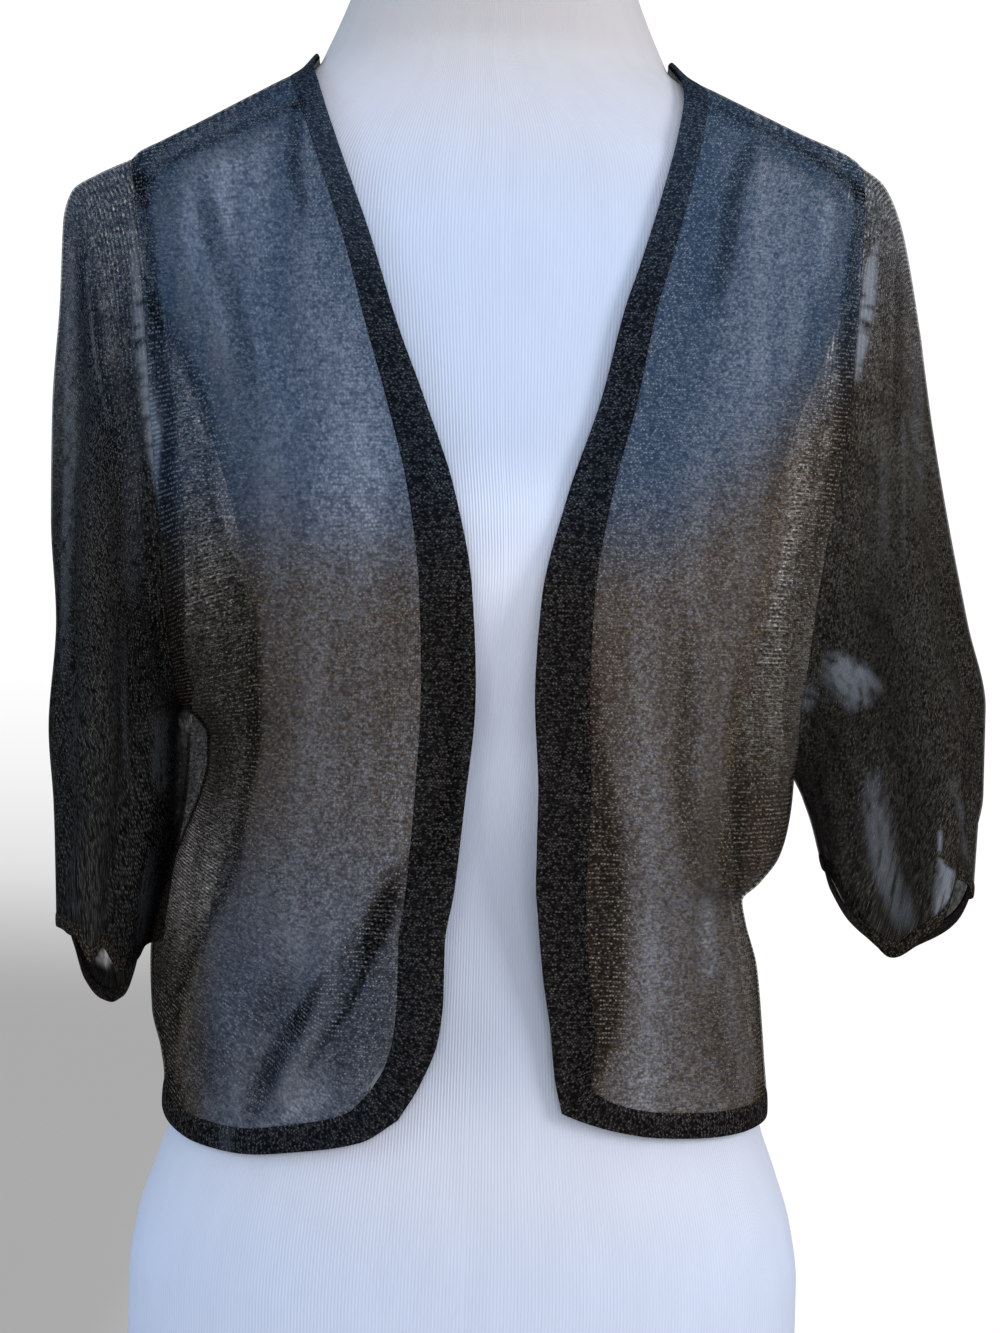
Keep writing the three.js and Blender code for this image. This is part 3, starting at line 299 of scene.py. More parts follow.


# Finer creases and tones of the fronts. Each runs up the panel: at a height, its place
# (x outwards) and half width, how dense and dark or how pale it is, and its rise in mm.
# The dark makes the knit denser and paints shade into its colour, in creases and where
# the form's shaded side shows through, and the pale paints sheen and highlights.
FRONT_STREAKS = {
    -1: (
        # the shoulder seam, from the armhole to the neck
        streak((664, 190, 5), (670, 184, 6, 0.45, 0, -0.5), (676, 178, 8, 0.6, 0, -1),
               (689, 150, 9, 0.6, 0, -1), (701, 125, 9, 0.6, 0, -1), (712, 104, 8, 0.5, 0, -1),
               (718, 97, 7)),
        # a crease down from the neck
        streak((640, 93, 3), (657, 96, 3.5, 0.45, 0, -1), (680, 101, 4, 0.55, 0, -1.5),
               (705, 101, 4, 0.5, 0, -1.5), (722, 102, 4)),
        # a soft crease over the chest
        streak((540, 116, 5), (560, 119, 6, 0.2, 0, -1), (595, 126, 6, 0.35, 0, -2),
               (627, 137, 6, 0.35, 0, -2), (652, 144.5, 6, 0.35, 0, -2), (675, 150, 6)),
        # painted shade of the form's side where the knit leaves it, beside the chest and at the waist
        streak((480, 133, 4), (505, 135, 4, 0.3), (517, 136, 4, 0.5), (535, 137.5, 4, 0.55),
               (564, 147, 5, 0.6), (598, 167, 5, 0.5), (615, 176, 5)),
        streak((230, 150, 4), (247, 147, 5, 0.45), (262, 145.5, 5, 0.5, 0, -0.5),
               (293, 133, 4, 0.4, 0, -1), (318, 121.5, 4, 0.45, 0, -1), (349, 118, 4, 0.45, 0, -1),
               (387, 113, 4, 0.4, 0, -1), (431, 112.5, 4, 0.4), (463, 118, 5, 0.3), (490, 126, 5)),
        streak((197, 138, 8), (208, 138, 13, 0.22), (226, 136, 13, 0.28), (240, 134, 9)),
        # beside the armhole seam
        streak((420, 157, 4), (470, 159, 5, 0.5), (508, 162, 6, 0.7), (541, 160, 5, 0.7),
               (577, 168, 5, 0.7), (612, 173, 5, 0.7), (648, 178.5, 5, 0.7), (672, 186, 5, 0.6),
               (690, 190, 5)),
        streak((500, 167, 1), (515, 169, 2.5, 0, 0.3, 0.5), (541, 170, 4.5, 0, 0.5, 0.5),
               (562, 174, 2.5, 0, 0.4, 0.5), (575, 176, 1)),
        # the line along which the front edge rolls inwards, a groove with painted shade
        streak((300, 22, 2), (330, 17, 3, 0.6, 0, -1), (343, 15.5, 5, 1, 0, -2),
               (363, 12.6, 4.5, 1, 0, -2), (407, 10, 3, 0.9, 0, -1.5), (457, 9.5, 2.5, 0.7, 0, -1),
               (500, 15, 2, 0.3, 0, -0.5), (520, 20, 2)),
        # the drag from the rolled edge down to the hem, and a fine crease beside it
        streak((215, 88, 8), (240, 76, 9, 0.2), (262, 66, 9, 0.35, 0, -1), (284, 55, 9, 0.45, 0, -1),
               (310, 38, 9, 0.45, 0, -1), (340, 20, 8, 0.3), (352, 14, 6)),
        streak((210, 60, 12, 0.1), (235, 55, 14, 0.3), (270, 48, 12, 0.3), (300, 40, 8)),
        streak((215, 84, 2), (231, 75, 2.2, 0.5, 0, -1), (243, 67, 2.2, 0.6, 0, -1),
               (259, 57.6, 2.2, 0.6, 0, -1), (284, 48, 2.5, 0.5, 0, -1), (300, 38, 3)),
        # trough and ridges above the hem, with painted shade in the trough and painted highlights on the
        # ridges
        streak((190, 110, 4), (199, 107, 5, 0.45, 0, -2), (223, 98, 6, 0.65, 0, -2.5),
               (245, 86, 5.5, 0.65, 0, -2.5), (264, 74.6, 4, 0.5, 0, -1.5), (275, 69, 3)),
        streak((198, 96, 4), (210, 90, 5, 0, 0.08, 1.5), (239, 77.6, 5, 0, 0.12, 2),
               (260, 71, 4.5, 0, 0.12, 1.5), (280, 66, 4)),
        streak((190, 121, 4, 0, 0.06), (205, 116, 5, 0, 0.12, 1.5), (224, 113.6, 4, 0, 0.1, 1),
               (240, 113, 4)),
        streak((235, 96, 16), (248, 96, 18, 0.3), (262, 94, 16, 0.25), (275, 90, 12)),
        # the lower corner at the side, and the top of the armhole
        streak((186, 152, 4), (192, 152, 6, 0.85), (200, 152, 6, 0.8), (207, 152, 5)),
        streak((655, 180, 3), (662, 178, 5, 0.6), (670, 178, 6, 0.6), (676, 179, 4)),
        # the front edge folded over low down
        streak((272, 52, 4), (284, 49, 6, 0.5), (298, 46, 7, 0.7, 0, -1), (312, 42, 6, 0.5),
               (330, 38, 4)),
    ),
    1: (
        streak((674, 198, 5), (682, 188, 7, 0.45, 0, -0.5), (690, 174, 8, 0.45, 0, -1),
               (702, 152, 8, 0.3, 0, -1), (716, 122, 8, 0.25, 0, -1), (724, 108, 7)),
        # a crease down the chest
        streak((600, 111, 4), (620, 115.7, 5, 0.45, 0, -1.5), (638, 120, 5.5, 0.55, 0, -2),
               (660, 122, 5.5, 0.55, 0, -2), (692, 132, 5, 0.5, 0, -1.5), (702, 135, 4)),
        # a crease at the waist
        streak((310, 110, 5), (333, 109, 6, 0.18, 0, -1.5), (372, 104, 6, 0.35, 0, -2),
               (404, 105, 6, 0.35, 0, -2), (437, 104, 6, 0.3, 0, -1.5), (455, 104, 5)),
        # a dark strip beside the front edge: denser knit of darker colour, with no fold in the surface
        streak((205, 56, 8, 0.5), (218, 58, 7, 0.65), (250, 66, 10, 0.78), (285, 66, 12, 0.8),
               (336, 63, 12, 0.78), (369, 59, 8.5, 0.7), (409, 56, 5, 0.6), (450, 57, 3)),
        # beside the armhole seam
        streak((440, 167, 4), (470, 170, 4, 0.15), (493, 173, 5, 0.5), (519, 178, 5, 0.7),
               (561, 184, 5, 0.7), (601, 185.5, 6, 0.7), (643, 190, 5, 0.7), (673, 194, 5, 0.6),
               (690, 196, 5)),
        # painted shade of the form's side where the knit leaves it at the waist
        streak((203, 138, 5), (217, 134, 6, 0.3), (256, 128, 6, 0.3), (290, 134, 5, 0.2),
               (330, 132, 7, 0.5), (371, 133, 6, 0.45), (406, 130, 5, 0.3), (440, 135, 5)),
        # painted shade in the fold below the underarm
        streak((300, 132, 10), (335, 140, 13, 0.15), (358, 146, 14, 0.2), (380, 152, 12, 0.1),
               (400, 152, 10)),
    ),
}

# The dark doubled shoulder, above its seam, in front and behind.
SHOULDER = streak((668, 200, 8), (676, 194, 10, 0.3), (684, 186, 16, 0.35), (696, 166, 24, 0.35),
                  (711, 138, 25, 0.35), (722, 122, 22, 0.35), (740, 100, 16, 0.4), (752, 92, 12, 0.5))

# Tones of each front and of the back at a height: light that passes against the same
# knit elsewhere, light that passes one face beside the form, and shade along the band.
PANEL_TONE = {
    -1: table(
        "z clear beside shade", (185, 1.0, 0.36, 0), (205, 0.98, 0.34, 0), (240, 0.94, 0.22, 0),
        (270, 0.96, 0.42, 0), (297, 1.01, 0.66, 0), (320, 0.96, 0.57, 0.08), (350, 0.95, 0.34, 0.1),
        (380, 0.98, 0.24, 0.12), (415, 0.98, 0.22, 0.12), (440, 0.98, 0.34, 0.1), (460, 0.99, 0.43, 0.1),
        (500, 1.08, 0.35, 0.1), (560, 1.06, 0.35, 0.2), (700, 1.17, 0.38, 0.25)),
    0: table(
        "z clear beside shade", (180, 1, 0.40, 0), (330, 1, 0.38, 0), (370, 1, 0.36, 0),
        (430, 1, 0.38, 0), (500, 1, 0.38, 0), (750, 1, 0.38, 0)),
    1: table(
        "z clear beside shade", (185, 0.93, 0.48, 0.05), (240, 0.96, 0.46, 0.2), (280, 1.07, 0.50, 0.25),
        (310, 1.07, 0.40, 0.25), (335, 1.04, 0.16, 0.25), (355, 1.02, 0.20, 0.22), (385, 0.96, 0.54, 0.18),
        (410, 0.92, 0.60, 0.16), (460, 0.92, 0.62, 0.24), (520, 0.88, 0.50, 0.28), (620, 0.94, 0.38, 0.34),
        (700, 0.95, 0.38, 0.3)),
}

# The same for the sleeves, at x outwards. The back of a sleeve has them too, fainter
# and a little further in.
SLEEVE_STREAKS = {
    -1: (
        # the smooth strip beside the armhole, with a painted sheen
        streak((500, 166, 1), (515, 167.5, 2.5, 0.3, 0.4, 0.5), (545, 170, 5.5, 0.4, 0.64, 1),
               (570, 173, 6, 0.4, 0.58, 1), (590, 177, 5, 0.4, 0.5, 1), (616, 181, 3.5, 0.3, 0.35, 1),
               (646, 186, 2, 0.2, 0.25, 0.5), (660, 188, 1)),
        # the outer edge with a painted highlight, and the hollow beside it with painted shade
        streak((400, 217, 3), (453, 216, 3.5, 0, 0.1, 1), (522, 216, 3.5, 0, 0.16, 1),
               (613, 219, 3.5, 0, 0.14, 1), (650, 219, 3)),
        streak((440, 190, 16), (470, 190, 17, 0.4, 0, -1), (503, 191, 16, 0.6, 0, -1.5),
               (555, 202, 12, 0.85, 0, -1.5), (608, 209, 7, 0.75, 0, -1.5), (640, 213, 5, 0.3),
               (655, 214, 4)),
        # a fine fold line down from the shoulder, with a painted highlight
        streak((545, 195, 1.2), (558, 197.4, 1.2, 0, 0.1, 0.6), (579, 202.5, 1.2, 0, 0.12, 0.8),
               (606, 206.7, 1.2, 0, 0.12, 0.8), (622, 208.6, 1.2, 0, 0.12, 0.8),
               (637, 208, 1.3, 0, 0.12, 0.8), (648, 203, 1.5, 0, 0.1, 0.6), (658, 195.4, 1.5)),
        streak((450, 179.4, 4), (465, 179.6, 5, 0, 0.05, 1), (524, 180.6, 5, 0, 0.06, 1), (545, 181, 4)),
        streak((343, 177, 1.2), (372, 181.6, 1.2, 0, 0.06, 0.8), (424, 184, 1.2, 0, 0.06, 0.8),
               (445, 184, 1.2)),
        # the deep fold below the underarm: painted shade with no rise, then painted highlights on its
        # edges
        streak((270, 170, 9, 0.6), (330, 167, 9, 0.7), (361, 166, 8, 0.6), (390, 166, 5)),
        streak((350, 166, 1.5), (359, 166.5, 3, 0, 0.14), (391, 167, 3.4, 0, 0.14), (398, 167, 1.5)),
        streak((280, 174.5, 2, 0, 0.1), (300, 172.5, 2, 0, 0.12), (325, 169, 1.5)),
    ),
    1: (
        streak((572, 191, 1), (582, 192, 2, 0.4, 0.5, 0.5), (598, 193.8, 3.6, 0.5, 0.6, 1),
               (617, 196.9, 4.2, 0.5, 0.62, 1), (632, 198.5, 3.6, 0.5, 0.6, 1),
               (645, 201, 2, 0.4, 0.5, 0.5), (652, 203, 1)),
        # streaks down the outer side: painted shade in creases, and painted highlights on fine ridges
        streak((530, 214, 3), (547, 214, 3.5, 0.4, 0, -1), (575, 214.3, 3.5, 0.5, 0, -1),
               (604, 215.6, 3.5, 0.5, 0, -1), (633, 215, 3, 0.3), (650, 214, 3)),
        streak((560, 206.5, 3), (575, 206.5, 3, 0.2), (602, 206.6, 3, 0.2), (636, 207, 3, 0.1),
               (650, 207, 2)),
        streak((480, 215.5, 1.2), (494, 215.8, 1.2, 0, 0.06, 0.8), (549, 216.7, 1.2, 0, 0.08, 0.8),
               (565, 217, 1.2)),
        streak((480, 205.8, 3), (494, 205.7, 3, 0, 0.06, 1), (528, 205.5, 3, 0, 0.06, 1),
               (545, 205.5, 3)),
        streak((500, 227.5, 4), (523, 227.4, 4, 0, 0.05, 1), (593, 227.6, 4, 0, 0.07, 1), (612, 227, 4)),
        # pale crumpled patches at the height of the underarm, a painted sheen
        streak((404, 194, 3), (409, 196, 7, 0, 0.3, 0.5), (422, 191, 11, 0, 0.45, 1),
               (431, 187, 8, 0, 0.4, 0.5), (437, 183, 3)),
        streak((414, 209, 1), (419, 205, 4, 0, 0.3, 0.5), (427, 199, 4, 0, 0.3, 0.5), (434, 196, 2)),
        streak((401, 170, 3), (411, 170, 7, 0, 0.25, 0.5), (421, 172, 3)),
        # creases low in front, with painted highlights on their edges
        streak((290, 223, 4), (304, 220, 6, 0, 0.24, 1), (324, 213, 7, 0, 0.26, 1),
               (348, 208, 7, 0, 0.24, 1), (368, 206, 5, 0, 0.16, 0.5), (378, 206, 4)),
        streak((324, 261, 2), (334, 257, 3, 0, 0.1), (350, 251, 3, 0, 0.1), (367, 245, 3, 0, 0.08),
               (376, 242, 2)),
        # the smooth corner turned back at the cuff, lightened with painted light
        streak((303, 237, 0.6, 0, 0.5), (310, 240.5, 4, 0, 0.58), (317, 246.5, 10, 0, 0.58),
               (323, 243, 6, 0, 0.58), (331, 237.8, 0.9, 0, 0.5), (333, 237, 0.5)),
        streak((334, 237.6, 0.8), (337, 237.6, 0.9, 0, 0.6), (344, 237.6, 0.9, 0, 0.6),
               (347, 237.6, 0.8)),
    ),
}

# Clear places on the inner back of the right sleeve: the corner that shows inside the
# cuff, and the strip beside the gap under the arm.
BEHIND = (
    streak((246, 202, 0.5), (248, 204, 5, 0, 0.9), (252, 206, 6.5, 0, 0.95), (256, 207, 4, 0, 0.95),
           (261, 206, 1.2, 0, 0.9), (263, 206, 0.5)),
    streak((322, 163, 2), (334, 163, 5, 0, 0.5), (360, 162, 7, 0, 0.6), (388, 161, 6, 0, 0.6),
           (400, 160, 3)),
)

# Down each sleeve: light that passes one face of the knit, how dark its yarn is, which is
# painted shade that lifts towards the top, and how much painted brownish light its yarn and
# thread take against a painted cool light from above.
SLEEVE_TONE = {
    -1: table(
        "z clear dark warm", (220, 0.07, 1, 0.7), (268, 0.07, 1, 0.7), (290, 0.10, 1, 0.7),
        (380, 0.13, 1, 0.7), (440, 0.12, 1, 0.7), (500, 0.26, 0.95, 0.6), (545, 0.35, 0.85, 0.3),
        (600, 0.40, 0.7, 0.1), (650, 0.43, 0.6, 0), (700, 0.46, 0.5, 0)),
    1: table(
        "z clear dark warm", (220, 0.25, 0.95, 1), (300, 0.25, 0.95, 1), (380, 0.25, 0.95, 1),
        (440, 0.27, 0.95, 1), (500, 0.30, 0.9, 1), (567, 0.36, 0.8, 1),
        (620, 0.46, 0.55, 0.8), (675, 0.49, 0.45, 0.5), (700, 0.51, 0.45, 0.4)),
}

# How far the inner back of the right sleeve leans in behind the body, so that the two
# meet in sight, and at which angle round the sleeve, with its spread.
LEAN = 7.5
LEAN_ANGLE = 208
LEAN_SPREAD = 17

# The streaks behind a sleeve: how much further in they lie, and their strength.
BEHIND_SHIFT = 8
BEHIND_SHARE = 0.6

# The shade on the floor towards -X, by the distance along it and up the backdrop.
FLOOR_SHADE = table(
    "far shade", (900, 0.957), (1400, 0.955), (1620, 0.94), (2050, 0.80), (2600, 0.60), (3000, 0.47),
    (3260, 0.38), (3490, 0.29), (3700, 0.19), (3875, 0.12), (4050, 0.05), (4250, 0))

# How far inside the form's outline the cloth on the right, in front and behind, already
# counts as hanging free.
FREE = table(
    "z in", (243, 0), (262, 0.5), (291, 8), (322, 12), (353, 7), (376, 9), (404, 10), (434, 10),
    (455, 7), (480, 2), (500, 0))

# How far the back stands out behind the right side seam, and the angles past the seam
# over which it rises and dies away.
FLARE_RISE = 3.5
FLARE_FALL = 26
FLARE = table(
    "z out", (240, 0), (267, 1), (290, 2), (302, 3.5), (312, 4), (326, 5.5), (340, 9), (354, 12.5),
    (368, 14.5), (382, 14), (391, 8), (398, 0))

# How steeply the courses of the right front are pulled towards the underarm: the slope
# of a course at a height, from a half width outwards.
PULL = table(
    "z slope start", (190, -0.5, 60), (260, -0.65, 75), (310, -0.6, 100), (375, 0, 110),
    (432, 0.3, 110), (520, 0.15, 120), (600, 0, 120))


# ---------------------------------------------------------------- curves and sections

def mix(a, b, share):
    """a plus the given share of the way to b."""
    return a + (b - a) * share


def ease(x, low, high):
    """0 below low, 1 above high, and 3s^2 - 2s^3 between them."""
    s = np.clip((x - low) / (high - low), 0.0, 1.0)
    return s * s * (3.0 - 2.0 * s)


def curve(rows, by, of, at):
    """Column `of` against column `by` at the places `at`.

    Cubic Hermite pieces. The slope at a row is the harmonic mean of the rises on its
    two sides, or 0 where they differ in sign, so the curve never overshoots a row.
    """
    x, y = rows[by], rows[of]
    rise = np.diff(y) / np.diff(x)
    before, after = rise[:-1], rise[1:]
    alike = before * after > 0
    total = np.where(alike, before + after, 1.0)
    slope = np.concatenate([rise[:1], np.where(alike, 2 * before * after / total, 0), rise[-1:]])
    here = np.clip(at, x[0], x[-1])
    i = np.clip(np.searchsorted(x, here) - 1, 0, len(x) - 2)
    step = x[i + 1] - x[i]
    s = (here - x[i]) / step
    return (y[i] * (1 + 2 * s) * (1 - s) ** 2 + slope[i] * step * s * (1 - s) ** 2
            + y[i + 1] * s * s * (3 - 2 * s) + slope[i + 1] * step * s * s * (s - 1))


def curves(rows, by, names, at):
    """Several named columns of a table at the same places."""
    return [curve(rows, by, name, at) for name in names.split()]


def faded_ends(way):
    """Rises from 0 over the first quarter of a fold's way and falls to 0 over its last fifth."""
    return ease(way, -0.02, 0.22) * (1 - ease(way, 0.8, 1.02))


def section(angle, half, front, back):
    """x and y of a section: half |sin|^q to the side and depth |cos|^q to the front or back."""
    c = np.cos(np.radians(angle))
    s = np.sin(np.radians(angle))
    x = half * np.sign(s) * np.abs(s) ** SQUARENESS
    y = np.where(c > 0, -front, back) * np.abs(c) ** SQUARENESS
    return x, y


def unit(v):
    """Vectors over their own lengths."""
    return v / np.maximum(np.linalg.norm(v, axis=-1, keepdims=True), 1e-12)


def outward(across, up, away):
    """Unit cross products of two directions, turned to the side that `away` is on."""
    normal = unit(np.cross(across, up))
    turn = np.sum(normal * away, -1, keepdims=True) < 0
    return np.where(turn, -normal, normal)


def side_key(side):
    """The half width column of one side."""
    return "right" if side < 0 else "left"


def add_streaks(tables, along, across):
    """Sums of dark, pale and rise over streak tables, each times exp(-(away / width)^4)."""
    total = {key: np.zeros(np.shape(across)) for key in ("dark", "pale", "rise")}
    for rows in tables:
        away = across - curve(rows, "at", "place", along)
        share = np.exp(-(away / curve(rows, "at", "width", along)) ** 4)
        for key in total:
            total[key] = total[key] + share * curve(rows, "at", key, along)
    return total


# ---------------------------------------------------------------- the body surface

def body_base(side, angle, z):
    """The smooth cloth surface: the section of the body table, swung out on the right.

    Behind the right seam the half width grows by swing times sin^2 of twice the angle
    past the seam.
    """
    half, front, back, mid, swing = curves(BODY, "z", side_key(side) + " front back mid swing", z)
    if side < 0:
        lobe = np.sin(np.radians(2 * (angle - CORNER))) ** 2
        half = half + np.where(angle > CORNER, swing * lobe, 0)
    x, y = section(angle, half, front, back)
    return np.stack([side * x, mid + y, z + 0 * x], -1)


def fold_heights(folds, x, z):
    """Sum over the folds of height times both faded ends times exp(-(across / width)^2)."""
    total = np.zeros(np.shape(x))
    for x1, z1, x2, z2, width, height in zip(*folds.values()):
        run_x, run_z = x2 - x1, z2 - z1
        length = math.hypot(run_x, run_z)
        along = ((x - x1) * run_x + (z - z1) * run_z) / length ** 2
        across = ((x - x1) * run_z - (z - z1) * run_x) / length
        total += height * faded_ends(along) * np.exp(-(across / width) ** 2)
    return total


def corner_fade(angle):
    """1 in front and behind, falling to 0 at the side seam by 3 |cos|."""
    return np.minimum(1, 3 * np.abs(np.cos(np.radians(angle))))


def body_point(side, angle, z):
    """A point of the body surface with its folds, and the outward normal there.

    The normal is the cross product of central differences of the smooth surface,
    turned away from the body's axis. The folds move the point along it and fade out
    towards the side seam.
    """
    angle, z = np.broadcast_arrays(np.asarray(angle, float), np.asarray(z, float))
    point = body_base(side, angle, z)
    probe = np.clip(angle, 1, 179)
    across = body_base(side, probe + 0.8, z) - body_base(side, probe - 0.8, z)
    up = body_base(side, probe, z + 0.8) - body_base(side, probe, z - 0.8)
    axis = np.stack([0 * z, curve(BODY, "z", "mid", z), z - 25], -1)
    normal = outward(across, up, body_base(side, probe, z) - axis)
    x = side * point[..., 0]
    front = fold_heights(BODY_FOLDS["front", side], x, z)
    back = fold_heights(BODY_FOLDS["back", side], x, z)
    height = np.where(angle < CORNER, front, back) * corner_fade(angle)
    return point + normal * height[..., None], normal


def front_point(side, angle, z):
    """A point of a front with its streaks' rise, its normal, and the streaks' tones."""
    point, normal = body_point(side, angle, z)
    tones = add_streaks((*FRONT_STREAKS[side], SHOULDER), np.asarray(z, float), side * point[..., 0])
    return point + normal * (tones["rise"] * corner_fade(angle))[..., None], normal, tones


def angle_at(side, x, z):
    """Section angle at which the body's half width is x."""
    share = np.clip(x / curve(BODY, "z", side_key(side), z), 0, 1)
    return np.degrees(np.arcsin(share ** (1 / SQUARENESS)))


def row_heights(top, under, low, r):
    """Heights of rows r: half a cosine from top to underarm, then even steps to low."""
    arm = mix(top, under, (1 - np.cos(np.pi * r / ARM_ROWS)) / 2)
    return np.where(r <= ARM_ROWS, arm, mix(under, low, (r - ARM_ROWS) / SIDE_ROWS))


def side_column(half, hem_band, r):
    """The side of a panel as section angle and height: armhole, then side seam."""
    z = row_heights(half["tip"], half["under"], half["hem_side"] + hem_band, r)
    angle = angle_at(half["side"], curve(half["seam"], "z", "x", z), z)
    return np.where((r > 0) & (r < ARM_ROWS), angle, CORNER), z


def front_edge(half, r):
    """The front edge and its band's inner edge, as (angle, height) each."""
    edge, side = half["edge"], half["side"]
    z = row_heights(edge["z"][-1], half["under"], edge["z"][0], r)
    x = curve(edge, "z", "x", z)
    height = z + curve(edge, "z", "rise", z)
    outer = np.where(r > 0, angle_at(side, x, z), CORNER)
    inner = np.where(r > 0, angle_at(side, x + curve(edge, "z", "band", z), height), CORNER)
    return (outer, z), (inner, height)


def front_hem(half, u):
    """The hem and its band's upper edge, from the front corner to the side seam."""
    hem, side = half["hem"], half["side"]
    start_x, start_z = hem["x"][0], hem["z"][0]
    angle = mix(angle_at(side, start_x, start_z), CORNER, u)
    x = curve(BODY, "z", side_key(side), start_z) * np.sin(np.radians(angle)) ** SQUARENESS
    z = np.where(u < 1, curve(hem, "x", "z", x), half["hem_side"])
    height = z + curve(hem, "x", "band", x)
    shifted = angle_at(side, x + curve(hem, "x", "shift", x), height)
    return (angle, z), (np.where(u < 1, shifted, CORNER), height)


def front_cells(half, r, u):
    """Angle and height over a front panel: straight between the band and the side.

    Below the underarm the rows sink with the square of the way down until the last
    one runs along the hem.
    """
    last, hem_band = np.array(float(ROWS)), half["hem"]["band"][-1]
    in_angle, in_z = front_edge(half, r)[1]
    side_angle, side_z = side_column(half, hem_band, r)
    hem_angle, hem_z = front_hem(half, u)[1]
    bottom = mix(front_edge(half, last)[1][1], side_column(half, hem_band, last)[1], u)
    angle = mix(in_angle[:, None], side_angle[:, None], u)
    z = mix(in_z[:, None], side_z[:, None], u)
    sink = np.maximum(0, (r - ARM_ROWS) / SIDE_ROWS)[:, None] ** 2
    angle = mix(angle, hem_angle, np.clip(r - ROWS + 1, 0, 1)[:, None])
    return angle, z + sink * (hem_z - bottom)


def back_point(angle, z):
    """The body surface from the right seam (-90) over the middle (0) to the left (90)."""
    right_point, right_normal = body_point(-1, 180 - np.abs(angle), z)
    left_point, left_normal = body_point(1, 180 - np.abs(angle), z)
    on_right = (np.asarray(angle) < 0)[..., None]
    return np.where(on_right, right_point, left_point), np.where(on_right, right_normal, left_normal)


def back_cells(r, j):
    """Angle and height over the back, rows r against columns j.

    Rows run straight between the two sides. The shoulder ridges with the neckline and
    the hem add their departures from a straight row, fading with the fifth power of
    the distance from them.
    """
    right_angle, right_z = side_column(RIGHT, BACK_HEM_BAND, r)
    left_angle, left_z = side_column(LEFT, BACK_HEM_BAND, r)
    ridge_end = BACK_NECK["z"][0] - BACK_NECK["band"][0]
    neck_angle = mix(-CORNER, CORNER, np.clip((j - RIDGE_COLUMNS) / NECK_COLUMNS, 0, 1))
    neck_z = curve(BACK_NECK, "angle", "z", neck_angle) - curve(BACK_NECK, "angle", "band", neck_angle)
    on_right = mix(RIGHT["tip"], ridge_end, j / RIDGE_COLUMNS)
    on_left = mix(ridge_end, LEFT["tip"], (j - RIDGE_COLUMNS - NECK_COLUMNS) / RIDGE_COLUMNS)
    top_z = np.where(j < RIDGE_COLUMNS, on_right, neck_z)
    top_z = np.where(j > RIDGE_COLUMNS + NECK_COLUMNS, on_left, top_z)
    hem_z = back_hem(j)[1] + BACK_HEM_BAND
    ends = back_hem(np.array([0.0, BACK_COLUMNS]))[1] + BACK_HEM_BAND
    u = j / BACK_COLUMNS
    from_top = (1 - r / ROWS)[:, None] ** 5
    from_hem = (r / ROWS)[:, None] ** 5
    angle = mix(-right_angle[:, None], left_angle[:, None], u)
    angle = angle + from_top * (neck_angle - mix(-CORNER, CORNER, u))
    z = mix(right_z[:, None], left_z[:, None], u)
    z = z + from_top * (top_z - mix(RIGHT["tip"], LEFT["tip"], u))
    z = z + from_hem * (hem_z - mix(ends[0], ends[1], u))
    return angle, z


def back_hem(j):
    """The hem of the back: angle evenly round it and height against x."""
    angle = mix(-CORNER, CORNER, j / BACK_COLUMNS)
    right = curve(BODY, "z", "right", float(RIGHT["hem_side"]))
    left = curve(BODY, "z", "left", float(LEFT["hem_side"]))
    x = np.where(angle < 0, right, left) * np.sin(np.radians(angle))
    return angle, curve(BACK_HEM, "x", "z", x)


# ---------------------------------------------------------------- sleeves

def sleeve_tube(half, angle, t):
    """The plain sleeve: by (1 + cos) / 2 from its inner to its outer line, its depth by sin."""
    c, s = np.cos(np.radians(angle)), np.sin(np.radians(angle))
    in_x, out_x, in_z, out_z, front, back = curves(half["sleeve"], "t", "inX outX inZ outZ front back", t)
    share = (1 + c) / 2
    drop = curve(half["drop"], "angle", "drop", np.mod(angle, 360.0))
    z = mix(in_z, out_z, share) + drop * ease(t, CUFF_REACH, 1) ** 1.5
    return np.stack([half["side"] * mix(in_x, out_x, share), -s * np.where(s > 0, front, back), z], -1)


def armhole(half, angle):
    """The armhole on the body surface at an angle round the sleeve."""
    share = (1 + np.cos(np.radians(angle))) / 2
    z = mix(half["under"], half["tip"], share)
    end = (share < 1e-9) | (share > 1 - 1e-9)
    at = np.where(end, CORNER, angle_at(half["side"], curve(half["seam"], "z", "x", z), z))
    in_front = np.mod(angle, 360.0) <= 180
    return body_point(half["side"], np.where(in_front, at, 180 - at), z)[0]


def sleeve_base(half, angle, t):
    """The tube plus what the armhole adds to its start, fading out by ARMHOLE_REACH."""
    start = armhole(half, angle) - sleeve_tube(half, angle, 0 * t)
    fade = np.maximum(0, 1 - np.maximum(0, t) / ARMHOLE_REACH) ** 2
    return sleeve_tube(half, angle, t) + start * fade[..., None]


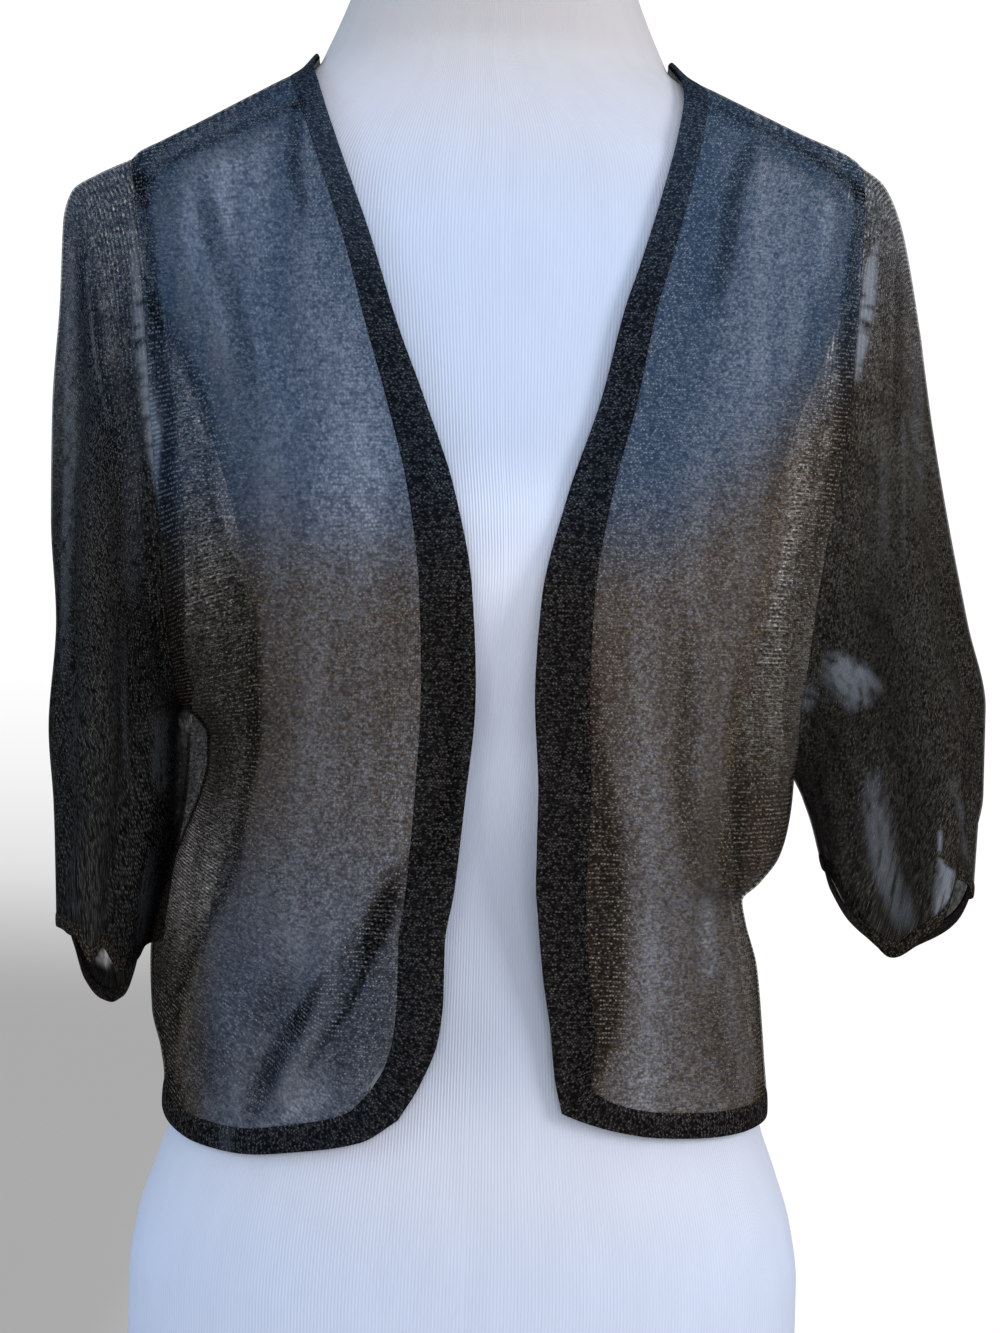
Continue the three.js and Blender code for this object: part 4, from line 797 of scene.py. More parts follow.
def sleeve_point(half, angle, t):
    """A point of the sleeve with its folds, and the normal away from its middle line."""
    angle, t = np.broadcast_arrays(np.asarray(angle, float), np.asarray(t, float))
    point = sleeve_base(half, angle, t)
    probe = np.clip(t, 0.012, 0.988)
    in_x, out_x, in_z, out_z = curves(half["sleeve"], "t", "inX outX inZ outZ", probe)
    middle = np.stack([half["side"] * mix(in_x, out_x, 0.5), 0 * probe, mix(in_z, out_z, 0.5)], -1)
    around = sleeve_base(half, angle + 3, probe) - sleeve_base(half, angle - 3, probe)
    along = sleeve_base(half, angle, probe + 0.01) - sleeve_base(half, angle, probe - 0.01)
    normal = outward(around, along, sleeve_base(half, angle, probe) - middle)
    height = np.zeros(t.shape)
    for place, start, end, width, high in zip(*SLEEVE_FOLDS[half["side"]].values()):
        away = np.mod(angle - place + 540, 360) - 180
        ends = faded_ends((t - start) / (end - start))
        height = height + high * ends * np.exp(-(away / width) ** 2)
    return point + normal * (height * ease(t, 0, 0.15))[..., None], normal


# ---------------------------------------------------------------- meshes

def running_length(points, axis):
    """Length along one axis of a grid of points, from its first row or column."""
    step = np.linalg.norm(np.diff(points, axis=axis), axis=-1)
    start = np.zeros_like(np.take(step, [0], axis))
    return np.concatenate([start, np.cumsum(step, axis=axis)], axis=axis)


def from_middle(lengths):
    """Lengths along the rows of a grid, counted from its middle column."""
    middle = lengths.shape[1] // 2
    return lengths - lengths[:, middle:middle + 1]


def make_mesh(name, points, faces, uv, values):
    """An object in metres from points in mm, quads, a uv pair in mm a corner and point values."""
    mesh = bpy.data.meshes.new(name)
    mesh.vertices.add(len(points))
    mesh.vertices.foreach_set("co", (points * MM).astype(np.float32).ravel())
    mesh.loops.add(faces.size)
    mesh.loops.foreach_set("vertex_index", faces.astype(np.int32).ravel())
    mesh.polygons.add(len(faces))
    mesh.polygons.foreach_set("loop_start", np.arange(0, faces.size, faces.shape[1], dtype=np.int32))
    layer = mesh.uv_layers.new(name="cut")
    layer.data.foreach_set("uv", (uv * MM).astype(np.float32).ravel())
    for key, value in values.items():
        attribute = mesh.attributes.new(key, "FLOAT", "POINT")
        attribute.data.foreach_set("value", value.astype(np.float32).ravel())
    mesh.update(calc_edges=True)
    mesh.validate()
    mesh.polygons.foreach_set("use_smooth", np.ones(len(faces), bool))
    piece = bpy.data.objects.new(name, mesh)
    bpy.context.scene.collection.objects.link(piece)
    return piece


def grid_faces(rows, columns, ring, closed):
    """Quads of a grid: vertex numbers and, for the uv, corner numbers in the full grid.

    In a ring the last column is the first one again, and when closed the last row is too.
    """
    i, j = np.meshgrid(np.arange(rows - 1), np.arange(columns - 1), indexing="ij")
    turns = ((i, j), (i + 1, j), (i + 1, j + 1), (i, j + 1))
    span_rows, span = rows - closed, columns - ring
    faces = np.stack([a % span_rows * span + b % span for a, b in turns], -1)
    corners = np.stack([a * columns + b for a, b in turns], -1)
    return faces.reshape(-1, 4), corners.reshape(-1, 4)


def grid_sheet(name, points, normals, uv, values, ring=False, closed=False):
    """A sheet on a grid of points, its faces turned to agree with the normals."""
    rows, columns = points.shape[:2]
    faces, corners = grid_faces(rows, columns, ring, closed)
    keep = np.s_[:rows - closed, :columns - ring]
    flat = points[keep].reshape(-1, 3)
    out = normals[keep].reshape(-1, 3)
    a, b, c = (flat[faces[:, k]] for k in range(3))
    if np.sum(np.cross(b - a, c - a) * out[faces[:, 0]]) < 0:
        faces, corners = faces[:, ::-1], corners[:, ::-1]
    values = {key: np.broadcast_to(value, points.shape[:2])[keep] for key, value in values.items()}
    return make_mesh(name, flat, faces, uv.reshape(-1, 2)[corners], values)


def thicken(piece, wall):
    """A Solidify that grows the wall inwards from the outer face."""
    solid = piece.modifiers.new("wall", "SOLIDIFY")
    solid.thickness = wall
    solid.offset = -1.0
    solid.use_even_offset = False
    solid.use_rim = True


# ---------------------------------------------------------------- shader maths

class Value:
    """A socket in a material's node tree, with Python's operators as Math nodes."""

    def __init__(self, nodes, socket):
        self.nodes = nodes
        self.socket = socket

    def math(self, operation, *others):
        return self.nodes.add("ShaderNodeMath", {"operation": operation},
                              dict(enumerate((self, *others))))[0]

    def __add__(self, other):
        return self.math("ADD", other)

    def __sub__(self, other):
        return self.math("SUBTRACT", other)

    def __rsub__(self, other):
        return self.nodes.number("SUBTRACT", other, self)

    def __mul__(self, other):
        return self.math("MULTIPLY", other)

    def __truediv__(self, other):
        return self.math("DIVIDE", other)

    def __pow__(self, other):
        return self.math("POWER", other)

    def clamp(self):
        return self.math("MAXIMUM", 0.0).math("MINIMUM", 1.0)


class Nodes:
    """A new material, with short ways to add nodes to its tree."""

    def __init__(self, name):
        self.material = bpy.data.materials.new(name)
        self.material.use_nodes = True
        self.tree = self.material.node_tree
        self.tree.nodes.clear()

    def add(self, kind, settings=None, inputs=None):
        node = self.tree.nodes.new(kind)
        for key, value in (settings or {}).items():
            setattr(node, key, value)
        for key, value in (inputs or {}).items():
            if isinstance(value, Value):
                self.tree.links.new(value.socket, node.inputs[key])
            else:
                node.inputs[key].default_value = value
        return [Value(self, output) for output in node.outputs]

    def number(self, operation, *parts):
        return self.add("ShaderNodeMath", {"operation": operation}, dict(enumerate(parts)))[0]

    def attribute(self, name):
        return self.add("ShaderNodeAttribute", {"attribute_name": name})[2]

    def blend(self, share, first, second):
        return self.add("ShaderNodeMix", {"data_type": "RGBA"}, {0: share, 6: first, 7: second})[2]

    def multiply(self, first, second):
        """A colour times a number."""
        return self.add("ShaderNodeVectorMath", {"operation": "SCALE"}, {0: first, 3: second})[0]

    def finish(self, inputs):
        """The material, with a Principled shader of these inputs as its surface."""
        shader = self.add("ShaderNodeBsdfPrincipled", {}, inputs)[0]
        output = self.tree.nodes.new("ShaderNodeOutputMaterial")
        self.tree.links.new(shader.socket, output.inputs["Surface"])
        return self.material


def cut_coordinates(nodes):
    """The cut's u and v in metres."""
    uv = nodes.add("ShaderNodeUVMap", {"uv_map": "cut"})[0]
    return nodes.add("ShaderNodeSeparateXYZ", inputs={0: uv})[:2]


def spots(nodes, cell, shift, jitter):
    """Soft spots on brick-laid cells over the cut, one a cell, and two random numbers a cell.

    A spot is exp(-5 times the squared distance from its centre, in cells), and its
    centre strays from the middle of the cell by up to half the jitter.
    """
    across, along = cell
    u, v = cut_coordinates(nodes)
    row = (v / along).math("FLOOR")
    place = u / across + (row * 0.5).math("FRACT") + shift
    cell = nodes.add("ShaderNodeCombineXYZ", inputs={0: place.math("FLOOR"), 1: row + 37 * shift})[0]
    random, tone = nodes.add("ShaderNodeTexWhiteNoise", {"noise_dimensions": "2D"}, {"Vector": cell})
    red, green, blue = nodes.add("ShaderNodeSeparateColor", inputs={0: tone})[:3]
    x = place.math("FRACT") - 0.5 + (red - 0.5) * jitter
    y = (v / along).math("FRACT") - 0.5 + (green - 0.5) * jitter
    return nodes.number("EXPONENT", (x * x + y * y) * -5.0), random, blue


def noise(nodes, scale, stretch=1.0, detail=0.0):
    """Noise over the cut, `scale` features a metre, longer along v by `stretch`, around 0."""
    u, v = cut_coordinates(nodes)
    place = nodes.add("ShaderNodeCombineXYZ", inputs={0: u, 1: v / stretch})[0]
    return nodes.add("ShaderNodeTexNoise", {"noise_dimensions": "2D"},
                     {"Vector": place, "Scale": scale, "Detail": detail})[0] - 0.5


def knit_material(name, openings, glitter):
    """Sheer black knit with a fine metallic thread.

    Light passes each face by the point value "clear", gathered into small uneven holes
    and made uneven by streaks along the wales. The metallic thread shows as a scatter
    of bright specks in the base colour, which are painted glints: bluish where the knit takes
    the painted cool light from above, and fainter where "dark" paints shade. The yarn takes
    painted cool light from above and painted brownish light below, and "dark" darkens it,
    partly its own black and partly painted shade. "pale" paints a soft grey sheen, and "rows"
    brings out the courses.
    """
    nodes = Nodes(name)
    clear, warm, dark, pale, rows = map(nodes.attribute, ("clear", "warm", "dark", "pale", "rows"))
    hole, hole_size, _ = spots(nodes, HOLE_CELL, 0.5, 0.8)
    stitch, bright, tint = spots(nodes, SPECK_CELL, 0.0, 0.9)
    _, v = cut_coordinates(nodes)
    course = nodes.number("SINE", (v + noise(nodes, 90.0) * 0.0009) * (2 * math.pi / COURSE_PITCH))
    streaks = noise(nodes, 60.0, 10.0) * 0.62 + noise(nodes, 170.0) * 0.45 + 1.0
    streaks = streaks + noise(nodes, 13.0, 7.0) * 0.3 + noise(nodes, 430.0) * 0.82
    lace = (hole * (hole_size * 1.2 + 0.4) * openings + (1.0 - 0.44 * openings)) * streaks
    lace = lace * (1.0 - course * (rows * 0.6 + 0.1))
    # The thread's specks: painted glints in the base colour.
    shine = bright ** 1.5 * streaks * (course * (rows * 0.6 + 0.3) + 1.0)
    thread = (stitch * shine * (1.0 - dark * 0.57) * glitter).clamp()
    crumple = (noise(nodes, 200.0, 2.5) * 2.6 + 1.0).clamp()
    # The yarn: painted cool light from above, painted brownish light below, and painted shade.
    yarn = nodes.blend(dark, nodes.blend(warm, YARN_IN_PAINTED_COOL_LIGHT, YARN_IN_PAINTED_BROWN_LIGHT), DARK_YARN)
    glint_colour = nodes.blend(warm, PAINTED_COOL_GLINT, nodes.blend(tint, PEWTER, BRONZE))
    return nodes.finish({
        "Base Color": nodes.blend(thread, nodes.blend(pale * crumple, yarn, SHEEN), glint_colour),
        "Roughness": 0.75, "Specular IOR Level": 0.0, "Alpha": (1.0 - clear * lace).clamp()})


def cover_material(name):
    """White stretch cover of the form: fine ribs along its height and a faint blue cast, partly
    its own and partly painted cool light from above.

    The point values "light" and "blue" paint shade, light and that cool light into its tone
    over the height.
    """
    nodes = Nodes(name)
    u, _ = cut_coordinates(nodes)
    rib = nodes.number("SINE", u * (2 * math.pi / RIB_PITCH)) * 0.5 + 0.5
    mottle = noise(nodes, 60.0, 3.0, 3.0) + 0.5
    grain = (rib * 0.5 + mottle * 0.5) * 0.14 + 0.93
    # Painted cool light from above and painted shade, by height, over the cover's own colour.
    tone = nodes.blend(nodes.attribute("blue"), WARM_COVER, COVER_IN_PAINTED_COOL_LIGHT)
    bump = nodes.add("ShaderNodeBump", {}, {"Strength": 0.3, "Distance": 0.0004, "Height": rib})
    return nodes.finish({
        "Base Color": nodes.multiply(tone, grain * nodes.attribute("light")),
        "Roughness": 0.9, "Specular IOR Level": 0.2, "Normal": bump[0]})


def studio_material(name):
    """A bright seamless backdrop, shaded by the point value "shade"."""
    nodes = Nodes(name)
    return nodes.finish({
        "Base Color": (0.02, 0.02, 0.02, 1), "Roughness": 1.0, "Specular IOR Level": 0.0,
        "Emission Color": nodes.blend(nodes.attribute("shade"), LIT_FLOOR, SHADED_FLOOR),
        "Emission Strength": 1.0})


# ---------------------------------------------------------------- pieces

def settings():
    """The sizes that a user may change."""
    return bpy.context.scene.cardigan_settings


def form_gap(points):
    """Distance in mm from points of the cloth to the form level with them.

    It is the radius times 1 - 1 / reach, where reach is how far outside the section a
    point lies, 1 on it.
    """
    half, front, back, mid_x, mid_y = curves(FORM, "z", "half front back midX midY", points[..., 2])
    x = points[..., 0] - mid_x
    y = points[..., 1] - mid_y
    power = 2 / SQUARENESS
    depth = np.where(y < 0, front, back)
    reach = (np.abs(x / half) ** power + np.abs(y / depth) ** power) ** (1 / power)
    return np.hypot(x, y) * (1 - 1 / np.maximum(reach, 1e-6))


def beside(points):
    """1 where the cloth hangs beside the form as seen from the front or the back.

    It goes by the place on the cloth alone, and on the right it starts further in.
    """
    x, z = points[..., 0], points[..., 2]
    half, mid_x = curves(FORM, "z", "half midX", z)
    past = np.abs(x - mid_x) - half
    past = past + np.where(x < 0, curve(FREE, "z", "in", z), 0)
    return ease(past, *OUTLINE)


def clearness(side, points, along=None):
    """How much light passes one face of the knit: on the form, off it and beside it.

    `along` is the distance from the front band, whose shade fades out from there.
    """
    z = points[..., 2]
    touching = np.exp(-np.maximum(form_gap(points), 0) / TOUCH_FADE)
    clear, free, shade = curves(PANEL_TONE[side], "z", "clear beside shade", z)
    hanging = HANGING + 0.05 * ease(z, *BUST)
    on_form = mix(hanging, TOUCHING, touching) * clear * (1 - 0.08 * warm_light_share(points))
    if along is not None:
        on_form = on_form * (1 - shade * np.exp(-(along / BAND_SHADE) ** 2))
    return mix(on_form, free, beside(points))


def warm_light_share(points):
    """How much painted brownish light the knit takes against painted cool light from above,
    which also decides how much the bronze thread shows: on what hangs below the bust, from
    higher up towards the left armhole, and less again low on the right.
    """
    x, z = points[..., 0], points[..., 2]
    turn = THREAD_TURN + np.clip(x - ARMHOLE_START, 0, ARMHOLE_RUN)
    low = (1 - ease(z, 250, 370)) * (1 - ease(x, -60, 0)) * ease(x, -150, -120)
    return (1 - ease(z, turn - THREAD_HALF, turn + THREAD_HALF)) * (1 - 0.6 * low)


def tone_values(clear, warm, tones, deep=0.0, rows=0.0):
    """The point values that the knit's material reads: streaks over the panel's tone.

    Its extra darkness is partly the yarn's own and partly painted shade, and with it comes
    the share of painted brownish light against painted cool light from above.
    """
    dark = np.clip(tones["dark"], 0, 1)
    return {"clear": clear * (1 - dark), "warm": warm, "dark": 1 - (1 - dark) * (1 - deep),
            "pale": np.clip(tones["pale"], 0, 1), "rows": rows}


def dress(piece, material, node, wall=None):
    """Wall thickness, material, slot, body and the CAD node that a piece stands for."""
    if wall:
        thicken(piece, wall)
    piece.data.materials.append(material)
    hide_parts(node)
    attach(piece, "root")
    return piece


def dress_panel(piece, node):
    """A panel of single knit, as thick as the setting says."""
    return dress(piece, named_material("open knit", knit_material, 0.55, 0.47), node,
                 wall=settings().wall)


def dress_edge(piece, node):
    """A doubled edge."""
    return dress(piece, named_material("doubled knit", knit_material, 0.4, 0.34), node)


def named_material(name, make, *values):
    """The material of that name, made once."""
    return bpy.data.materials.get(name) or make(name, *values)


def fine_rows(count):
    """Row numbers 0..ROWS, `count` steps, closer together near the hem and the shoulder."""
    s = np.linspace(0, 1, count + 1)
    return ROWS * (0.75 * s + 0.25 * (1 - np.cos(np.pi * s)) / 2)


def build_form():
    """The form: its section at every height, closed by flat caps at both ends."""
    z = np.unique(np.concatenate([np.linspace(0, 828, 277), [1.5, 3, 5, 825, 826.5, 827.4]]))[:, None]
    half, front, back, mid_x, mid_y = curves(FORM, "z", "half front back midX midY", z)
    x, y = section(np.linspace(0, 360, 181)[None], half, front, back)
    points = np.stack([mid_x + x, mid_y + y, z + 0 * x], -1)
    middle = np.stack([mid_x + 0 * x, mid_y + 0 * x, z + 0 * x], -1)
    u = running_length(points, 1)
    u = u * (COVER_GIRTH / u[:, -1:])
    # Painted shade, light and cool light on the cover, by height.
    light, blue = curves(COVER_PAINTED_LIGHT, "z", "light blue", points[..., 2])
    piece = grid_sheet("form", points, points - middle, np.stack([u, z + 0 * u], -1),
                       {"light": light, "blue": blue}, ring=True)
    close_ends(piece)
    return dress(piece, named_material("form cover", cover_material), "dress_form")


def close_ends(piece):
    """Fills the open rings of a tube and turns all faces outwards."""
    work = bmesh.new()
    work.from_mesh(piece.data)
    open_edges = [edge for edge in work.edges if edge.is_boundary]
    for face in bmesh.ops.holes_fill(work, edges=open_edges, sides=0)["faces"]:
        face.smooth = False
    bmesh.ops.recalc_face_normals(work, faces=work.faces)
    work.to_mesh(piece.data)
    work.free()


def course_lines(side, points):
    """The height of each point's course: level, but pulled towards the right underarm."""
    z = points[..., 2]
    if side > 0:
        return z
    beyond = np.maximum(0, -points[..., 0] - curve(PULL, "z", "start", z))
    return z + curve(PULL, "z", "slope", z) * beyond


def build_front(half):
    """A front panel with its front and hem bands."""
    side, name = half["side"], half["name"]
    angle, z = front_cells(half, fine_rows(220), np.linspace(0, 1, 101))
    points, normals, tones = front_point(side, angle, z)
    free, height = beside(points), points[..., 2]
    start = points[:, :1, 0] * side
    along = running_length(points, 1)
    uv = np.stack([start + along, -course_lines(side, points) * COURSE_STRETCH], -1)
    rows = np.maximum(free, np.clip(tones["dark"], 0, 1) * (1 - ease(height, 300, 420)))
    # Painted shade on the knit beside the form: more on the right, less above the bust.
    deep = (0.62 - 0.18 * side) * (1 - 0.45 * ease(height, *BUST_DEEP)) * free
    values = tone_values(clearness(side, points, along), warm_light_share(points), tones, deep, rows)
    panel = grid_sheet(f"front_panel_{name}", points, normals, uv, values)
    dress_panel(panel, f"front_{name}")
    edge = edge_band(f"front_edge_{name}", side, *front_edge(half, fine_rows(300)), f"front_band_{name}")
    hem = edge_band(f"hem_edge_{name}", side, *front_hem(half, np.linspace(0, 1, 121)), f"hem_band_{name}")
    return panel, edge, hem


def there_and_back(values):
    """A grid, and then its columns from the last but one back to the first."""
    return np.concatenate([values, values[:, -2::-1]], 1)


def edge_band(name, side, outer, inner, node, lanes=15):
    """A doubled edge in the place of a CAD band, between two lines of angles and heights.

    Its section is a flat oval: `lanes` points over the outside from the seam to the
    fold and one fewer back inside, up to BAND_HALF from its middle.
    """
    share = (1 - np.cos(np.pi * np.linspace(0, 1, lanes))) / 2
    angle = mix(inner[0][:, None], outer[0][:, None], share)
    z = mix(inner[1][:, None], outer[1][:, None], share)
    if side:
        points, normals, tones = front_point(side, angle, z)
    else:
        points, normals = back_point(angle, z)
        tones = add_streaks((), z, z)
    bulge = BAND_HALF * np.sin(np.pi * np.linspace(0, 1, lanes)) ** 0.4
    outside = points + normals * (BAND_LIFT + bulge)[:, None]
    inside = points + normals * (BAND_LIFT - bulge)[:, None]
    ring = np.concatenate([outside, inside[:, -2::-1]], 1)
    away = np.concatenate([normals, -normals[:, -2::-1]], 1)
    length = running_length(points[:, lanes // 2][:, None], 0)
    width = running_length(points, 1)
    around = np.concatenate([width, 2 * width[:, -1:] + BAND_UV_GAP - width[:, -2::-1]], 1)
    tones = {key: there_and_back(tone) for key, tone in tones.items()}
    clear = mix(DOUBLED, DOUBLED_HIGH, ease(ring[..., 2], *COLLAR_CLEAR))
    # The edges' darkness: their own, lifted towards the neck by painted light from above.
    deep = 0.94 - 0.3 * ease(ring[..., 2], *COLLAR_DEEP)
    piece = grid_sheet(name, ring, away, np.stack([around, length + 0 * around], -1),
                       tone_values(clear, 0.8 * warm_light_share(ring), tones, deep), ring=True)
    close_ends(piece)
    return dress_edge(piece, node)


def build_back():
    """The back panel with its neck and hem bands."""
    angle, z = back_cells(fine_rows(200), np.linspace(0, BACK_COLUMNS, 201))
    points, normals = back_point(angle, z)
    points = points + np.stack([-back_flare(angle, z), 0 * z, 0 * z], -1)
    uv = np.stack([from_middle(running_length(points, 1)), -z * COURSE_STRETCH], -1)
    tones = add_streaks((SHOULDER,), z, np.abs(points[..., 0]))
    values = tone_values(clearness(0, points), 0.6 * warm_light_share(points), tones, 0.5)
    panel = grid_sheet("back_panel", points, normals, uv, values)
    dress_panel(panel, "back")

    fine = np.linspace(-CORNER, CORNER, 181)
    neck_z, neck_band = curves(BACK_NECK, "angle", "z band", fine)
    neck = edge_band("neck_edge_back", 0, (fine, neck_z), (fine, neck_z - neck_band), "neck_band_back")
    hem_angle, hem_z = back_hem(np.linspace(0, BACK_COLUMNS, 181))
    hem = edge_band("hem_edge_back", 0, (hem_angle, hem_z), (hem_angle, hem_z + BACK_HEM_BAND),
                    "hem_band_back")
    return panel, neck, hem


def back_flare(angle, z):
    """How far the back stands out to the right just behind its side seam.

    The table's value is times (1 - exp(-(past / rise)^2)) exp(-(past / fall)^2).
    """
    past = np.maximum(0, CORNER + angle)
    lobe = (1 - np.exp(-(past / FLARE_RISE) ** 2)) * np.exp(-(past / FLARE_FALL) ** 2)
    return curve(FLARE, "z", "out", z) * lobe


def build_sleeve(half):
    """A sleeve and its cuff. Past the last ring the wall runs straight to the edge."""
    side, name = half["side"], half["name"]
    angle = np.linspace(0, 360, 217)
    t = np.linspace(0, LAST_RING, 120)
    steps = np.linspace(0, 1, 13)[1:]
    points, normals = sleeve_point(half, angle[None], t[:, None])
    points = points + lean_in(side, angle) * ease(t, 0.04, 0.16)[:, None, None]
    edge, edge_normal = (grid[0] for grid in sleeve_point(half, angle[None], np.ones((1, 1))))
    edge = edge + lean_in(side, angle)
    up = points[-1] - edge
    top = edge + up / np.linalg.norm(up, axis=-1, keepdims=True) * CUFF_HEIGHT
    points = np.concatenate([points, mix(points[-1], top, steps[:, None, None])])
    normals = np.concatenate([normals, unit(mix(normals[-1], edge_normal, steps[:, None, None]))])
    uv = np.stack([from_middle(running_length(points, 1)), -running_length(points, 0)], -1)
    way = np.concatenate([t, mix(LAST_RING, 1, steps)])[:, None]
    tones = sleeve_tones(side, points)
    room = ease(way, 0.02, 0.1) * (1 - ease(way, 0.8, LAST_RING))
    points = points + normals * (tones["rise"] * room)[..., None]
    height = points[..., 2]
    # Painted shade and painted light down the sleeve, by height.
    clear, dark, warm = curves(SLEEVE_TONE[side], "z", "clear dark warm", height)
    values = tone_values(mix(clear, SMOOTH, tones["thin"]), warm, tones, dark,
                         0.5 * ease(height, 540, 640))
    sleeve = grid_sheet(f"sleeve_panel_{name}", points, normals, uv, values, ring=True)
    dress_panel(sleeve, f"sleeve_{name}")
    cuff = cuff_ring(f"cuff_edge_{name}", edge, top, edge_normal)
    return sleeve, dress_edge(cuff, f"cuff_band_{name}")


def lean_in(side, angle):
    """How far the inner back of the right sleeve leans in.

    It is LEAN times exp(-((angle - LEAN_ANGLE) / LEAN_SPREAD)^2).
    """
    share = np.exp(-((np.mod(angle, 360) - LEAN_ANGLE) / LEAN_SPREAD) ** 2)
    amount = LEAN * share if side < 0 else 0 * angle
    return np.stack([amount, 0 * amount, 0 * amount], -1)


def sleeve_tones(side, points):
    """The streaks of a sleeve: full in front, and further in and fainter behind."""
    x, y, z = side * points[..., 0], points[..., 1], points[..., 2]
    front = add_streaks(SLEEVE_STREAKS[side], z, x)
    back = add_streaks(SLEEVE_STREAKS[side], z, x + BEHIND_SHIFT)
    behind = ease(y, -10, 10)
    tones = {key: mix(front[key], BEHIND_SHARE * back[key], behind) for key in front}
    tones["thin"] = add_streaks(BEHIND, z, x)["pale"] * behind if side < 0 else 0 * x
    return tones


def cuff_ring(name, edge, top, normal):
    """The doubled cuff: the flat oval of a band carried round the sleeve's edge."""
    turns = np.linspace(0, 2 * np.pi, 17)
    share = CUFF_OVERLAP * (1 - np.cos(turns)) / 2
    bulge = np.sign(np.sin(turns)) * np.abs(np.sin(turns)) ** 0.5 + BAND_LIFT
    points = mix(edge[:, None], top[:, None], share[:, None]) + normal[:, None] * bulge[:, None]
    middle = mix(edge, top, 0.5)[:, None] + normal[:, None] * BAND_LIFT
    around = running_length(edge[:, None], 0) + 0 * share
    across = CUFF_HEIGHT * share + np.where(turns > np.pi, CUFF_UV_GAP, 0.0) + 0 * around
    values = {"clear": DOUBLED, "warm": 1.0, "dark": 0.85, "pale": 0.0, "rows": 0.0}
    return grid_sheet(name, points, points - middle, np.stack([around, across], -1), values,
                      ring=True, closed=True)


# ---------------------------------------------------------------- stage

def build_stage():
    """A bright floor that sweeps up into a far backdrop, in a painted shade low at -X."""
    flat, bend, quarter = 3000, 1500, np.radians(90)
    far = np.concatenate([np.linspace(-4500, flat, 76), flat + bend * np.radians(np.linspace(3, 90, 30)),
                          flat + bend * quarter + np.linspace(150, 3000, 20)])
    turn = np.clip((far - flat) / bend, 0, quarter)
    y = np.minimum(far, flat) + bend * np.sin(turn)
    z = bend * (1 - np.cos(turn)) + np.maximum(far - flat - bend * quarter, 0) - 0.2
    x = np.linspace(-5000, 5000, 129)
    points = np.stack(np.broadcast_arrays(x, y[:, None], z[:, None]), -1)
    normals = np.broadcast_to(np.array([0.0, -1.0, 1.0]), points.shape)
    spread = 1 + np.maximum(far - 900, 0)[:, None] / 3280
    shade = curve(FLOOR_SHADE, "far", "shade", far)[:, None] * (1 - ease(x / spread, -260, 160))
    piece = grid_sheet("floor", points, normals, points[..., :2], {"shade": shade})
    piece.data.materials.append(studio_material("studio white"))
    piece.visible_diffuse = False


def add_light(name, place, aim, size, power, color):
    """A rectangular area light at `place`, turned towards `aim`."""
    data = bpy.data.lights.new(name, "AREA")
    data.shape = "RECTANGLE"
    data.size, data.size_y = size
    data.energy = power
    data.color = color
    light = bpy.data.objects.new(name, data)
    light.location = place
    light.rotation_euler = (Vector(aim) - Vector(place)).to_track_quat("-Z", "Y").to_euler()
    bpy.context.scene.collection.objects.link(light)


def build_lights():
    """Cool light from above, brighter at +X, blue at -X and broad in front.

    The side lights are named as seen from the front. A pale surround fills the rest.
    """
    add_light("top", (0.0, -0.7, 2.2), (0, 0, 0.5), (2.0, 1.4), 10, (0.80, 0.90, 1.0))
    add_light("right", (1.9, -1.2, 1.2), (0, 0, 0.4), (0.9, 1.2), 35, (1.0, 0.985, 0.97))
    add_light("left", (-1.9, -0.5, 0.9), (0, 0, 0.4), (0.9, 1.2), 15, (0.46, 0.72, 1.0))
    add_light("front", (0.0, -3.0, 0.9), (0, 0, 0.4), (2.6, 1.8), 41, (1.0, 0.985, 0.97))
    world = bpy.data.worlds.new("studio")
    world.use_nodes = True
    surround = world.node_tree.nodes["Background"]
    surround.inputs["Color"].default_value = (0.95, 0.97, 1.0, 1)
    surround.inputs["Strength"].default_value = 0.465
    bpy.context.scene.world = world


def build_camera():
    """The camera: 65 mm on a 36 mm sensor, level, above the waist and rolled slightly."""
    data = bpy.data.cameras.new("camera")
    data.lens = 65.0
    data.sensor_width = 36.0
    data.sensor_height = 36.0
    data.sensor_fit = "AUTO"
    data.shift_x = 0.0158
    data.shift_y = -0.0124
    data.clip_end = 30
    camera = bpy.data.objects.new("camera", data)
    camera.location = (0, -1.300, 0.432)
    camera.rotation_euler = (math.radians(90), math.radians(-1.49), 0)
    bpy.context.scene.collection.objects.link(camera)
    bpy.context.scene.camera = camera


# ---------------------------------------------------------------- the add-on

class CardiganSettings(bpy.types.PropertyGroup):
    """Sizes of the cardigan."""
    wall: bpy.props.FloatProperty(
        name="Knit thickness", description="Thickness of the single knit",
        default=0.0008, min=0.0004, max=0.0012, subtype="DISTANCE", unit="LENGTH")


class CARDIGAN_OT_form(bpy.types.Operator):
    """Builds the limbless dress form in its ribbed cover"""
    bl_idname = "cardigan.form"
    bl_label = "Dress form"

    def execute(self, context):
        build_form()
        return {"FINISHED"}


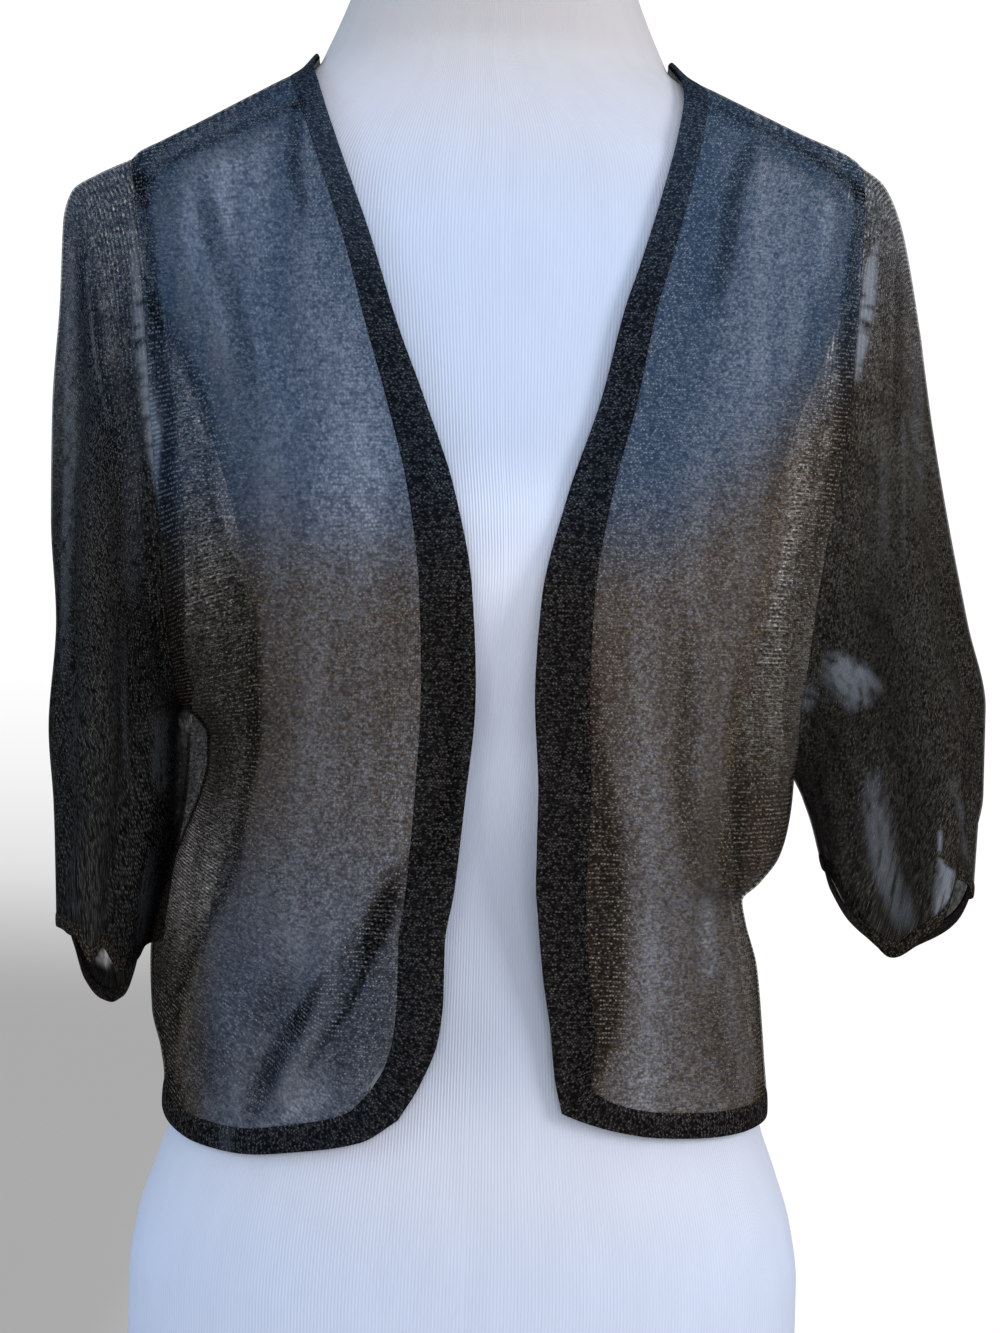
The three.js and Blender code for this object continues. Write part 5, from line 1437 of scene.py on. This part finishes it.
class CARDIGAN_OT_fronts(bpy.types.Operator):
    """Builds both front panels with their front and hem bands"""
    bl_idname = "cardigan.fronts"
    bl_label = "Fronts"

    def execute(self, context):
        panel, edge, hem = build_front(RIGHT)
        panel, edge, hem = build_front(LEFT)
        return {"FINISHED"}


class CARDIGAN_OT_back(bpy.types.Operator):
    """Builds the back panel with its neck and hem bands"""
    bl_idname = "cardigan.back"
    bl_label = "Back"

    def execute(self, context):
        panel, neck, hem = build_back()
        return {"FINISHED"}


class CARDIGAN_OT_sleeves(bpy.types.Operator):
    """Builds both sleeves with their cuffs"""
    bl_idname = "cardigan.sleeves"
    bl_label = "Sleeves"

    def execute(self, context):
        sleeve, cuff = build_sleeve(RIGHT)
        sleeve, cuff = build_sleeve(LEFT)
        return {"FINISHED"}


class CARDIGAN_OT_stage(bpy.types.Operator):
    """Builds the floor, the lights and the camera"""
    bl_idname = "cardigan.stage"
    bl_label = "Stage"

    def execute(self, context):
        build_stage()
        build_lights()
        build_camera()
        return {"FINISHED"}


class CARDIGAN_PT_panel(bpy.types.Panel):
    """Lists the cardigan's settings and its pieces"""
    bl_idname = "CARDIGAN_PT_panel"
    bl_label = "Cardigan"
    bl_space_type = "VIEW_3D"
    bl_region_type = "UI"
    bl_category = "Cardigan"

    def draw(self, context):
        self.layout.prop(context.scene.cardigan_settings, "wall")
        for name in ("form", "back", "fronts", "sleeves", "stage"):
            self.layout.operator(f"cardigan.{name}")


CLASSES = (
    CardiganSettings, CARDIGAN_OT_form, CARDIGAN_OT_back, CARDIGAN_OT_fronts,
    CARDIGAN_OT_sleeves, CARDIGAN_OT_stage, CARDIGAN_PT_panel,
)


def register():
    for entry in CLASSES:
        bpy.utils.register_class(entry)
    bpy.types.Scene.cardigan_settings = bpy.props.PointerProperty(type=CardiganSettings)


def unregister():
    del bpy.types.Scene.cardigan_settings
    for entry in reversed(CLASSES):
        bpy.utils.unregister_class(entry)


def main():
    register()
    scene = bpy.context.scene
    scene.view_settings.view_transform = "Standard"
    scene.cycles.transparent_max_bounces = 32
    for name in ("stage", "form", "back", "fronts", "sleeves"):
        getattr(bpy.ops.cardigan, name)()


if __name__ == "__main__":
    main()
